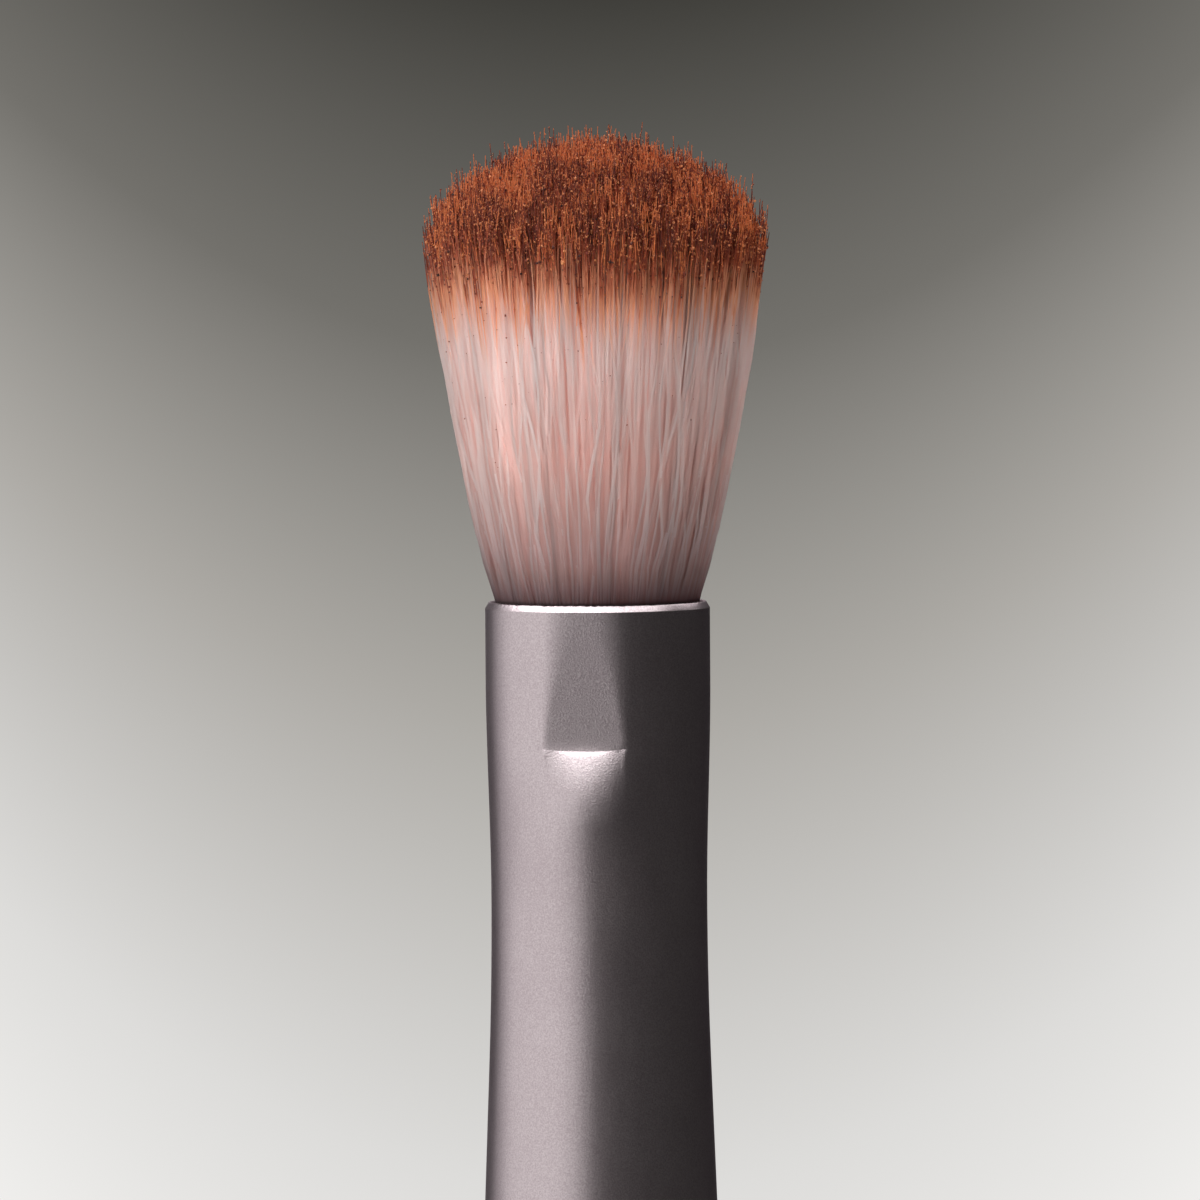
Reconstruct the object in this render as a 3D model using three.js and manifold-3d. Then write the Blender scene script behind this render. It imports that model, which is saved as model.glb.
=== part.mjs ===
// Eyeshadow blending brush, standing on its foot with the bristles up.
// Millimetres, +Z up along the brush's axis, origin at the centre of the foot.
// The front, with the pressed thumb flat, faces -Y.

import * as THREE from "three";
import { mergeVertices } from "three/addons/utils/BufferGeometryUtils.js";
import Module from "manifold-3d";

const wasm = await Module();
wasm.setup();

// Clearances
const SEAM_GAP = 0.15; // between pieces stacked along the axis
const BOND_GAP = 0.12; // glue line between a piece and the one around it
const THREAD_GAP = 0.08; // between the winding and the bundle that it ties

// Base cap, a turned plug that closes the handle and is its foot
const CAP_HEIGHT = 6;
const CAP_FOOT_ROUND = 0.8;
const CAP_DISH_RADIUS = 3.4;
const CAP_DISH_DEPTH = 0.4;
const SPIGOT_LENGTH = 9;
const SPIGOT_LEAD = 0.5;

// Grip, a soft sleeve moulded over the handle core
const GRIP_LENGTH = 77;
const GRIP_RADIUS = 6.65; // at the base cap
const GRIP_WALL = 1.0;
const GRIP_UPPER_PULL = 30; // how far the metal's flare is carried on into the grip
const GRIP_LOWER_PULL = 26; // how far the straight lower end is carried up
const SEAM_ROUND = 0.25; // edges on both sides of the seam between grip and cap

// Handle core, hollow in the grip and solid in the ferrule
const CORE_BORE_RADIUS = 3.9;
const CORE_BORE_DEPTH = 42;
const GLUE_GROOVE_DEPTH = 0.5;
const GLUE_GROOVE_WIDTH = 1.6;
const GLUE_GROOVE_LOW = 6; // lower groove, above the ferrule's lower edge
const GLUE_GROOVE_HIGH = 13.75; // upper groove, below the tenon's top

// Ferrule, a drawn aluminium tube with a slight waist
const FERRULE_LENGTH = 50;
const FERRULE_WALL = 0.37;
const MOUTH_RADIUS = 4.0;
const MOUTH_STRAIGHT = 2.8;
const NECK_RADIUS = 3.845;
const NECK_DROP = 10.5; // below the rim
const FLARE_SLOPE = 0.0375; // radius gained per millimetre below the neck
const FLARE_BLEND_LENGTH = 6; // length over which the neck turns into the flare
const RIM_OUTER_ROUND = 0.26;
const RIM_INNER_BEVEL = 0.08;

// Thumb flat, pressed into the front of the ferrule from the rim down to a ledge
const FLAT_LENGTH = 5.4;
const FLAT_DEPTH_AT_RIM = 0.16;
const FLAT_DEPTH_AT_LEDGE = 0.31;
const FLAT_DIP_POWER = 2.5; // how late the flat dips towards the ledge
const LEDGE_RAMP = 0.5;

// Root of the tuft inside the ferrule
const PLUG_BELOW_LEDGE = 1.1; // top of the potted root, below the flat's ledge
const THREAD_RADIUS = 0.11;
const THREAD_TURNS = 3;
const THREAD_PITCH = 0.28;
const THREAD_ABOVE_PLUG = 2; // middle of the winding, above the potted root
const ROOT_SPREAD = 1; // depth below the rim at which the bundle starts to spread

// Tuft, measured up from the rim
const TUFT_LENGTH = 17;
const TUFT_SHOULDER = 13.3;
const TUFT_RADIUS = 6.15;
const TUFT_BELLY = 0.45; // how much the spread eases off towards the shoulder
const DOME_POWER = 1.7; // 2 would be an elliptic dome, 1 a cone
const BOUND_HEIGHT = 3; // the closely packed stretch that bends
const LOCK_GAP = 0.16; // between neighbouring locks of bristles
const LOCK_CROWN = 0.35; // how far a lock's middle stands above its edge
const CROWN_SHRINK_RATIO = 0.75; // how much of its width a lock loses over its crown
const RING_COUNTS = { core: 1, inner: 6, outer: 12 };

// Fineness of curved faces
const METAL_SIDES = 48;
const HANDLE_SIDES = 36;
const CURVE_STEPS = 4;
const GRIP_STEPS = 10;
const THREAD_STEPS = 22;
const THREAD_SIDES = 6;
const LOCK_SIDE_STEPS = 7;
const LOCK_CROWN_STEPS = 2;

// Heights that follow from the stack
const gripBottom = CAP_HEIGHT + SEAM_GAP;
const gripTop = gripBottom + GRIP_LENGTH;
const ferruleBottom = gripTop + SEAM_GAP;
const rim = ferruleBottom + FERRULE_LENGTH;
const plugTop = rim - FLAT_LENGTH - PLUG_BELOW_LEDGE;
const plugBottom = rim - NECK_DROP;
const tenonTop = plugBottom - SEAM_GAP;
const bundleBottom = plugTop + SEAM_GAP;

// Radii that follow from the ferrule's bore
const mouthBore = MOUTH_RADIUS - FERRULE_WALL;
const bundleRadius = mouthBore - Math.max(FLAT_DEPTH_AT_LEDGE, FLAT_DEPTH_AT_RIM) - BOND_GAP;
const bundleMouthRadius = mouthBore - FLAT_DEPTH_AT_RIM - BOND_GAP;

const metal = (colour, roughness) =>
  new THREE.MeshStandardMaterial({ color: colour, roughness, metalness: 1 });
const plastic = (colour, roughness) =>
  new THREE.MeshStandardMaterial({ color: colour, roughness, metalness: 0 });

const MATERIALS = {
  anodisedAluminium: metal(0xc4b7b9, 0.32),
  softTouchRubber: plastic(0x6f6268, 0.75),
  mouldedPlastic: plastic(0x3b3639, 0.6),
  epoxy: plastic(0xd9c48f, 0.25),
  cottonThread: plastic(0xefe9e2, 0.9),
  filament: plastic(0xe6c8c3, 0.5),
};

const { lerp, degToRad } = THREE.MathUtils;
const point = (radius, height) => new THREE.Vector2(radius, height);
const smooth = (t) => t * t * (3 - 2 * t);

function piece(name, geometry, material) {
  const mesh = new THREE.Mesh(geometry, material);
  mesh.name = name;
  return mesh;
}

// A solid of revolution about +Z, its profile running up the outside
function turned(profile, sides) {
  return new THREE.LatheGeometry(profile, sides).rotateX(Math.PI / 2);
}

// A closed geometry as a solid that can be cut
function solidOf(geometry) {
  const bare = geometry.clone();
  bare.deleteAttribute("normal");
  bare.deleteAttribute("uv");
  const merged = mergeVertices(bare, 1e-4);
  return new wasm.Manifold(
    new wasm.Mesh({
      numProp: 3,
      vertProperties: merged.attributes.position.array,
      triVerts: new Uint32Array(merged.index.array),
    }),
  );
}

// A cut solid as a geometry again
function geometryOf(solid) {
  const mesh = solid.getMesh();
  const geometry = new THREE.BufferGeometry();
  geometry.setAttribute("position", new THREE.BufferAttribute(mesh.vertProperties, 3));
  geometry.setIndex(new THREE.BufferAttribute(mesh.triVerts, 1));
  return geometry;
}

// Points of a round edge about a centre, between two angles in degrees
function roundEdge(centre, radius, from, to) {
  return Array.from({ length: CURVE_STEPS + 1 }, (_, i) => {
    const angle = degToRad(lerp(from, to, i / CURVE_STEPS));
    return point(centre.x + radius * Math.cos(angle), centre.y + radius * Math.sin(angle));
  });
}

// Evenly spaced values from one end to the other, both included
function steps(from, to, count) {
  return Array.from({ length: count + 1 }, (_, i) => lerp(from, to, i / count));
}

// Outer radius of the ferrule at a height: straight mouth, waist, then an even flare downwards
function ferruleRadius(height) {
  const drop = rim - height;
  if (drop <= MOUTH_STRAIGHT) return MOUTH_RADIUS;
  if (drop <= NECK_DROP) {
    const t = (drop - MOUTH_STRAIGHT) / (NECK_DROP - MOUTH_STRAIGHT);
    return lerp(MOUTH_RADIUS, NECK_RADIUS, smooth(t));
  }
  const past = drop - NECK_DROP;
  if (past <= FLARE_BLEND_LENGTH) return NECK_RADIUS + (FLARE_SLOPE * past ** 2) / (2 * FLARE_BLEND_LENGTH);
  return NECK_RADIUS + FLARE_SLOPE * (past - FLARE_BLEND_LENGTH / 2);
}

// The ferrule's outline, upwards between two heights, set in from its outside by an inset
function ferruleOutline(low, high, inset) {
  const flareStart = rim - NECK_DROP - FLARE_BLEND_LENGTH;
  const neck = rim - NECK_DROP;
  const straightStart = rim - MOUTH_STRAIGHT;
  const turns = [...steps(flareStart, neck, CURVE_STEPS), ...steps(neck, straightStart, CURVE_STEPS).slice(1)];
  const heights = [low, ...turns.filter((height) => height > low && height < high), high];
  return heights.map((height) => point(ferruleRadius(height) - inset, height));
}

// Outside of the grip, upwards: straight at the cap, then in line with the ferrule's flare
const gripTopRadius = ferruleRadius(ferruleBottom);
const gripOutline = new THREE.CubicBezierCurve(
  point(GRIP_RADIUS, gripBottom),
  point(GRIP_RADIUS, gripBottom + GRIP_LOWER_PULL),
  point(gripTopRadius + FLARE_SLOPE * GRIP_UPPER_PULL, gripTop - GRIP_UPPER_PULL),
  point(gripTopRadius, gripTop),
).getPoints(GRIP_STEPS);

function baseCap() {
  const spigotRadius = CORE_BORE_RADIUS - BOND_GAP;
  const spigotTop = CAP_HEIGHT + SPIGOT_LENGTH;
  return turned(
    [
      point(0, CAP_DISH_DEPTH),
      point(CAP_DISH_RADIUS, CAP_DISH_DEPTH),
      point(CAP_DISH_RADIUS + CAP_DISH_DEPTH, 0),
      ...roundEdge(point(GRIP_RADIUS - CAP_FOOT_ROUND, CAP_FOOT_ROUND), CAP_FOOT_ROUND, -90, 0),
      ...roundEdge(point(GRIP_RADIUS - SEAM_ROUND, CAP_HEIGHT - SEAM_ROUND), SEAM_ROUND, 0, 90),
      point(spigotRadius, CAP_HEIGHT),
      point(spigotRadius, spigotTop - SPIGOT_LEAD),
      point(spigotRadius - SPIGOT_LEAD, spigotTop),
      point(0, spigotTop),
    ],
    HANDLE_SIDES,
  );
}

function gripSleeve() {
  const lowest = gripOutline[0];
  const inside = gripOutline.map((p) => point(p.x - GRIP_WALL, p.y)).reverse();
  const lowerEdge = point(lowest.x - SEAM_ROUND, lowest.y + SEAM_ROUND);
  const roundedFoot = roundEdge(lowerEdge, SEAM_ROUND, -90, 0);
  return turned([...roundedFoot, ...gripOutline.slice(1), ...inside, roundedFoot[0]], HANDLE_SIDES);
}

// Heights of the two glue grooves, each as its lower and upper edge
const lowGroove = ferruleBottom + GLUE_GROOVE_LOW;
const highGroove = tenonTop - GLUE_GROOVE_HIGH;
const glueGrooves = [
  { low: lowGroove, high: lowGroove + GLUE_GROOVE_WIDTH },
  { low: highGroove - GLUE_GROOVE_WIDTH, high: highGroove },
];

function handleCore() {
  const sleeveSeat = gripOutline.map((p) => point(p.x - GRIP_WALL - BOND_GAP, p.y));
  const boreTop = gripBottom + CORE_BORE_DEPTH;
  const inset = FERRULE_WALL + BOND_GAP;
  const [lower, upper] = glueGrooves;
  const grooveFloor = ({ low, high }) => [
    point(ferruleRadius(low) - inset - GLUE_GROOVE_DEPTH, low),
    point(ferruleRadius(high) - inset - GLUE_GROOVE_DEPTH, high),
  ];
  return turned(
    [
      point(0, boreTop + CORE_BORE_RADIUS),
      point(CORE_BORE_RADIUS, boreTop),
      point(CORE_BORE_RADIUS, gripBottom),
      ...sleeveSeat,
      ...ferruleOutline(ferruleBottom, lower.low, inset),
      ...grooveFloor(lower),
      ...ferruleOutline(lower.high, upper.low, inset),
      ...grooveFloor(upper),
      ...ferruleOutline(upper.high, tenonTop, inset),
      point(0, tenonTop),
    ],
    HANDLE_SIDES,
  );
}

// Hardened glue that fills one groove of the tenon
function glueRing({ low, high }) {
  const bottom = low + BOND_GAP;
  const top = high - BOND_GAP;
  const outer = FERRULE_WALL + BOND_GAP;
  const inner = FERRULE_WALL + GLUE_GROOVE_DEPTH;
  return turned(
    [
      point(ferruleRadius(bottom) - inner, bottom),
      point(ferruleRadius(bottom) - outer, bottom),
      point(ferruleRadius(top) - outer, top),
      point(ferruleRadius(top) - inner, top),
      point(ferruleRadius(bottom) - inner, bottom),
    ],
    HANDLE_SIDES,
  );
}

// Block in front of the thumb flat, from above the rim down the flat and out over its ledge
function flatCutter() {
  const reach = 2 * MOUTH_RADIUS;
  const flatEnd = FLAT_LENGTH - LEDGE_RAMP;
  const face = steps(0, flatEnd, CURVE_STEPS).map((drop) => {
    const dip = (drop / flatEnd) ** FLAT_DIP_POWER;
    return point(lerp(FLAT_DEPTH_AT_RIM, FLAT_DEPTH_AT_LEDGE, dip) - MOUTH_RADIUS, rim - drop);
  });
  const ledgeSlope = FLAT_DEPTH_AT_LEDGE / LEDGE_RAMP;
  const outline = new THREE.Shape([
    point(-reach, rim + MOUTH_RADIUS),
    point(face[0].x, rim + MOUTH_RADIUS),
    ...face,
    point(-reach, rim - flatEnd - (reach + face.at(-1).x) / ledgeSlope),
  ]);
  const block = new THREE.ExtrudeGeometry(outline, { depth: 2 * reach, bevelEnabled: false });
  block.translate(0, 0, -reach);
  const [x, y, z] = [0, 1, 2].map((axis) => new THREE.Vector3().setComponent(axis, 1));
  return block.applyMatrix4(new THREE.Matrix4().makeBasis(y, z, x));
}

// Drawn tube with the flat pressed in, so that its wall is as thick there as elsewhere
function ferrule() {
  const outside = ferruleOutline(ferruleBottom, rim - RIM_OUTER_ROUND, 0);
  const roundedRim = roundEdge(
    point(MOUTH_RADIUS - RIM_OUTER_ROUND, rim - RIM_OUTER_ROUND), RIM_OUTER_ROUND, 0, 90,
  );
  const blank = turned([point(0, ferruleBottom), ...outside, ...roundedRim.slice(1), point(0, rim)], METAL_SIDES);
  const past = FERRULE_WALL;
  const boreOutline = ferruleOutline(ferruleBottom, rim - RIM_INNER_BEVEL, FERRULE_WALL);
  const bore = turned(
    [
      point(0, ferruleBottom - past),
      point(boreOutline[0].x, ferruleBottom - past),
      ...boreOutline,
      point(mouthBore + RIM_INNER_BEVEL + past, rim + past),
      point(0, rim + past),
    ],
    METAL_SIDES,
  );
  const pressed = flatCutter();
  const pressedInside = pressed.clone().translate(0, FERRULE_WALL, 0);
  const hollow = solidOf(bore).subtract(solidOf(pressedInside));
  return geometryOf(solidOf(blank).subtract(solidOf(pressed)).subtract(hollow));
}

// Radius of the tuft at a height above the rim, up to its shoulder
function tuftRadius(height) {
  const t = Math.min(height / TUFT_SHOULDER, 1);
  return lerp(mouthBore, TUFT_RADIUS, (1 + TUFT_BELLY) * t - TUFT_BELLY * t ** 2);
}

// Height of the tuft's dome above the rim, at a share of the tuft's radius
function domeHeight(share) {
  const rise = (1 - Math.min(share, 1) ** DOME_POWER) ** (1 / DOME_POWER);
  return lerp(TUFT_SHOULDER, TUFT_LENGTH, rise);
}

// Epoxy that pots the bristles' ends, seated in the funnel above the ferrule's neck
function rootPlug() {
  const outline = ferruleOutline(plugBottom, plugTop, FERRULE_WALL + BOND_GAP);
  return turned([point(0, plugBottom), ...outline, point(0, plugTop)], HANDLE_SIDES);
}

const threadMiddle = plugTop + THREAD_ABOVE_PLUG;
const threadHeight = THREAD_TURNS * THREAD_PITCH;
const waistRadius = bundleRadius - 2 * THREAD_RADIUS - THREAD_GAP;

// Winding that ties the bundle, as an open helix
class Winding extends THREE.Curve {
  getPoint(t, target = new THREE.Vector3()) {
    const angle = 2 * Math.PI * THREAD_TURNS * t;
    const radius = waistRadius + THREAD_GAP + THREAD_RADIUS;
    const height = threadMiddle + (t - 0.5) * threadHeight;
    return target.set(radius * Math.cos(angle), radius * Math.sin(angle), height);
  }
}

function tieThread() {
  const corners = Array.from({ length: THREAD_SIDES }, (_, i) => {
    const angle = (2 * Math.PI * i) / THREAD_SIDES;
    return point(THREAD_RADIUS * Math.cos(angle), THREAD_RADIUS * Math.sin(angle));
  });
  return new THREE.ExtrudeGeometry(new THREE.Shape(corners), {
    extrudePath: new Winding(),
    steps: THREAD_TURNS * THREAD_STEPS,
  });
}

// Closely packed lower stretch of the bristles, from the potted root to just above the rim
function bristleRoots() {
  const grooveHalf = threadHeight / 2 + THREAD_RADIUS + THREAD_GAP;
  const spread = steps(BOUND_HEIGHT / CURVE_STEPS, BOUND_HEIGHT, CURVE_STEPS - 1);
  return turned(
    [
      point(0, bundleBottom),
      point(bundleRadius, bundleBottom),
      point(bundleRadius, threadMiddle - grooveHalf),
      point(waistRadius, threadMiddle - grooveHalf),
      point(waistRadius, threadMiddle + grooveHalf),
      point(bundleRadius, threadMiddle + grooveHalf),
      point(bundleRadius, rim - ROOT_SPREAD),
      point(bundleMouthRadius, rim),
      ...spread.map((height) => point(tuftRadius(height), rim + height)),
      point(0, rim + BOUND_HEIGHT),
    ],
    HANDLE_SIDES,
  );
}

// Rings of locks, each with its share of the tuft's section and so its inner and outer radius
const lockTotal = Object.values(RING_COUNTS).reduce((sum, count) => sum + count);
const lockRings = Object.entries(RING_COUNTS).map(([name, count], i, all) => {
  const within = all.slice(0, i).reduce((sum, [, inner]) => sum + inner, 0);
  const innerShare = Math.sqrt(within / lockTotal);
  const outerShare = Math.sqrt((within + count) / lockTotal);
  return { name, count, innerShare, outerShare };
});

// Section of one lock at the tuft's shoulder: a disc, or a block of a ring
function lockSection({ count, innerShare, outerShare }, index) {
  const half = LOCK_GAP / 2;
  const outer = TUFT_RADIUS * outerShare - (outerShare < 1 ? half : 0);
  const section = new THREE.Shape();
  if (count === 1) return section.absarc(0, 0, outer, 0, 2 * Math.PI, false);
  const inner = TUFT_RADIUS * innerShare + half;
  const from = (2 * Math.PI * (index - 0.5)) / count;
  const to = (2 * Math.PI * (index + 0.5)) / count;
  section.absarc(0, 0, outer, from + half / outer, to - half / outer, false);
  section.absarc(0, 0, inner, to - half / inner, from + half / inner, true);
  return section.closePath();
}

// Lock of bristles: its section drawn up from the bound stretch, spreading with the tuft, to a low crown
function bristleLock(ring, index) {
  const stepCount = LOCK_SIDE_STEPS + LOCK_CROWN_STEPS;
  const geometry = new THREE.ExtrudeGeometry(lockSection(ring, index), {
    depth: stepCount,
    steps: stepCount,
    curveSegments: ring.count === 1 ? CURVE_STEPS : CURVE_STEPS / 2,
    bevelEnabled: false,
  });
  const middleShare = ring.count === 1 ? 0 : (ring.innerShare + ring.outerShare) / 2;
  const angle = (2 * Math.PI * index) / ring.count;
  const middle = point(Math.cos(angle), Math.sin(angle)).multiplyScalar(TUFT_RADIUS * middleShare);
  const bottom = BOUND_HEIGHT + LOCK_GAP;
  const places = geometry.attributes.position;
  for (let i = 0; i < places.count; i += 1) {
    const step = Math.round(places.getZ(i));
    const up = Math.min(step / LOCK_SIDE_STEPS, 1);
    const over = Math.max(step - LOCK_SIDE_STEPS, 0) / LOCK_CROWN_STEPS;
    const place = point(places.getX(i), places.getY(i)).lerp(middle, CROWN_SHRINK_RATIO * over);
    const edgeDrop = LOCK_CROWN * (1 - over) ** 2;
    const height = lerp(bottom, domeHeight(place.length() / TUFT_RADIUS) - edgeDrop, up);
    place.multiplyScalar(tuftRadius(height) / TUFT_RADIUS);
    places.setXYZ(i, place.x, place.y, rim + height);
  }
  return geometry;
}

const brush = new THREE.Group();

const handle = new THREE.Group();
handle.add(
  piece("base_cap", baseCap(), MATERIALS.anodisedAluminium),
  piece("grip_sleeve", gripSleeve(), MATERIALS.softTouchRubber),
  piece("handle_core", handleCore(), MATERIALS.mouldedPlastic),
  piece("glue_ring_lower", glueRing(glueGrooves[0]), MATERIALS.epoxy),
  piece("glue_ring_upper", glueRing(glueGrooves[1]), MATERIALS.epoxy),
  piece("ferrule", ferrule(), MATERIALS.anodisedAluminium),
  piece("root_plug", rootPlug(), MATERIALS.epoxy),
  piece("tie_thread", tieThread(), MATERIALS.cottonThread),
  piece("bristle_roots", bristleRoots(), MATERIALS.filament),
);

const tuft = new THREE.Group();
for (const ring of lockRings) {
  for (let index = 0; index < ring.count; index += 1) {
    const number = ring.count === 1 ? "" : `_${index + 1}`;
    tuft.add(piece(`bristle_lock_${ring.name}${number}`, bristleLock(ring, index), MATERIALS.filament));
  }
}

brush.add(handle, tuft);

export default brush;
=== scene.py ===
"""Looks of an eyeshadow blending brush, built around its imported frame.

Sizes are in millimetres and become metres where a mesh is made. The brush stands on its foot
with the bristles up along +Z, and the pressed thumb flat of the ferrule faces -Y.
"""

import logging
import math
from collections.abc import Sequence
from dataclasses import dataclass
from enum import Enum

import bpy
import numpy as np
from bpy.types import Material, Mesh, NodeSocket, NodeTree, Object, World
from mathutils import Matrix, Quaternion, Vector


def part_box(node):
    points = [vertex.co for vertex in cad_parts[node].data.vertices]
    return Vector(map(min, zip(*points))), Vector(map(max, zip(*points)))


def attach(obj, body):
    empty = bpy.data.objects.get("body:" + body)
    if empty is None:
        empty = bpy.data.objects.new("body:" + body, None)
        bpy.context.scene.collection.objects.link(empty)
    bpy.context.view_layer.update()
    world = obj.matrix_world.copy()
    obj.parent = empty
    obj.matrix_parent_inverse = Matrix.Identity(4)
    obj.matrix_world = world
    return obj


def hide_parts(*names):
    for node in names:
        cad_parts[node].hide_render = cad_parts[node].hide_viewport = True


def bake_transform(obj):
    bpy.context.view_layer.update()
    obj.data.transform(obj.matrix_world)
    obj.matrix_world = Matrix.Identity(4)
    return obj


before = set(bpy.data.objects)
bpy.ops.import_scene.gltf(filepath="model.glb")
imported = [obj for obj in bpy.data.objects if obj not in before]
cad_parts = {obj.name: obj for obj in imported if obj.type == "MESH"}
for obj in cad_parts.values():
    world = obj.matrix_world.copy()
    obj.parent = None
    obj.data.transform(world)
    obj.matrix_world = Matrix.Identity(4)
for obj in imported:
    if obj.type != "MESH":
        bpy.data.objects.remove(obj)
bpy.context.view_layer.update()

MM = 0.001
TURN = 2 * math.pi
SEED = 20
LOG = logging.getLogger("brush")

# Most values of a noise texture lie in this span
NOISE_SPAN = {"From Min": 0.3, "From Max": 0.7}

# Sockets of the colour kind of the Mix node, which share their names with its other kinds
MIX_A = 6
MIX_B = 7

Array = np.ndarray
Chance = np.random.Generator
Outline = list[tuple[float, float]]
Span = tuple[float, float]
Stops = Sequence[tuple[float, str]]


def linear(colour: str) -> tuple[float, float, float, float]:
    """Turns an sRGB hex colour into linear light.

    Args:
        colour: The colour as "#RRGGBB".

    Returns:
        Linear red, green and blue, and an alpha of 1.
    """
    shares = [int(colour[i:i + 2], 16) / 255 for i in (1, 3, 5)]
    return (*(s / 12.92 if s <= 0.04045 else ((s + 0.055) / 1.055) ** 2.4 for s in shares), 1.0)


def add_node(
    tree: NodeTree, kind: str, links: dict | None = None, output: str = "", **settings: object
) -> NodeSocket:
    """Adds a shader node with its settings and links.

    Args:
        tree: The node tree that gets the node.
        kind: The node's type, without the word ShaderNode.
        links: For each input socket, the output socket that feeds it or its value.
        output: Name of the wanted output socket, or nothing for the first one in use.
        settings: Properties of the node by name.

    Returns:
        The wanted output socket, or None if the node has no outputs.
    """
    node = tree.nodes.new("ShaderNode" + kind)
    for name, value in settings.items():
        setattr(node, name, value)
    for name, value in (links or {}).items():
        if isinstance(value, NodeSocket):
            tree.links.new(value, node.inputs[name])
        else:
            node.inputs[name].default_value = value
    wanted = (s for s in node.outputs if (s.name == output if output else s.enabled))
    return next(wanted, None)


def add_ramp(tree: NodeTree, share: NodeSocket, stops: Stops) -> NodeSocket:
    """Adds a colour ramp.

    Args:
        tree: The node tree that gets the ramp.
        share: The socket that says where on the ramp to read, from 0 to 1.
        stops: Places on the ramp, rising, each with its hex colour.

    Returns:
        The ramp's colour socket.
    """
    ramp = add_node(tree, "ValToRGB", {"Fac": share})
    elements = ramp.node.color_ramp.elements
    for _ in stops[2:]:
        elements.new(1.0)
    for element, (place, colour) in zip(elements, stops):
        element.position = place
        element.color = linear(colour)
    return ramp


def fresh_tree(owner: Material | World) -> NodeTree:
    """Empties a node tree.

    Args:
        owner: The material or world that has the tree.

    Returns:
        The empty tree.
    """
    owner.use_nodes = True
    owner.node_tree.nodes.clear()
    return owner.node_tree


def per_mm(size: float) -> float:
    """Texture scale that makes one feature this many millimetres wide."""
    return 1 / (size * MM)


def smoothstep(low: float, high: float, value: Array) -> Array:
    """Rises smoothly from 0 at low to 1 at high.

    Args:
        low: Where the rise starts.
        high: Where it ends.
        value: The values to read it at.

    Returns:
        The rise at each value.
    """
    share = np.clip((value - low) / (high - low), 0, 1)
    return share * share * (3 - 2 * share)


class Finish:
    """A material with a name and nodes of its own."""

    name: str

    def material(self) -> Material:
        """Makes the material, or finds it if it was made before.

        Returns:
            The material, with its nodes.
        """
        made = bpy.data.materials.get(self.name)
        if not made:
            made = bpy.data.materials.new(self.name)
            tree = fresh_tree(made)
            add_node(tree, "OutputMaterial", {"Surface": self.surface(tree)})
        return made

    def surface(self, tree: NodeTree) -> NodeSocket:
        """Adds the shader with all that feeds it, and returns what the material shows."""
        return add_node(tree, "BsdfPrincipled", self.looks(tree))

    def looks(self, tree: NodeTree) -> dict:
        """Adds the nodes that feed the shader, and returns what goes in each of its sockets."""
        raise NotImplementedError


class Working(Enum):
    """How a metal piece was brought to its shape, which sets the way its fine lines run."""

    DRAWN = "drawn"
    TURNED = "turned"


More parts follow.
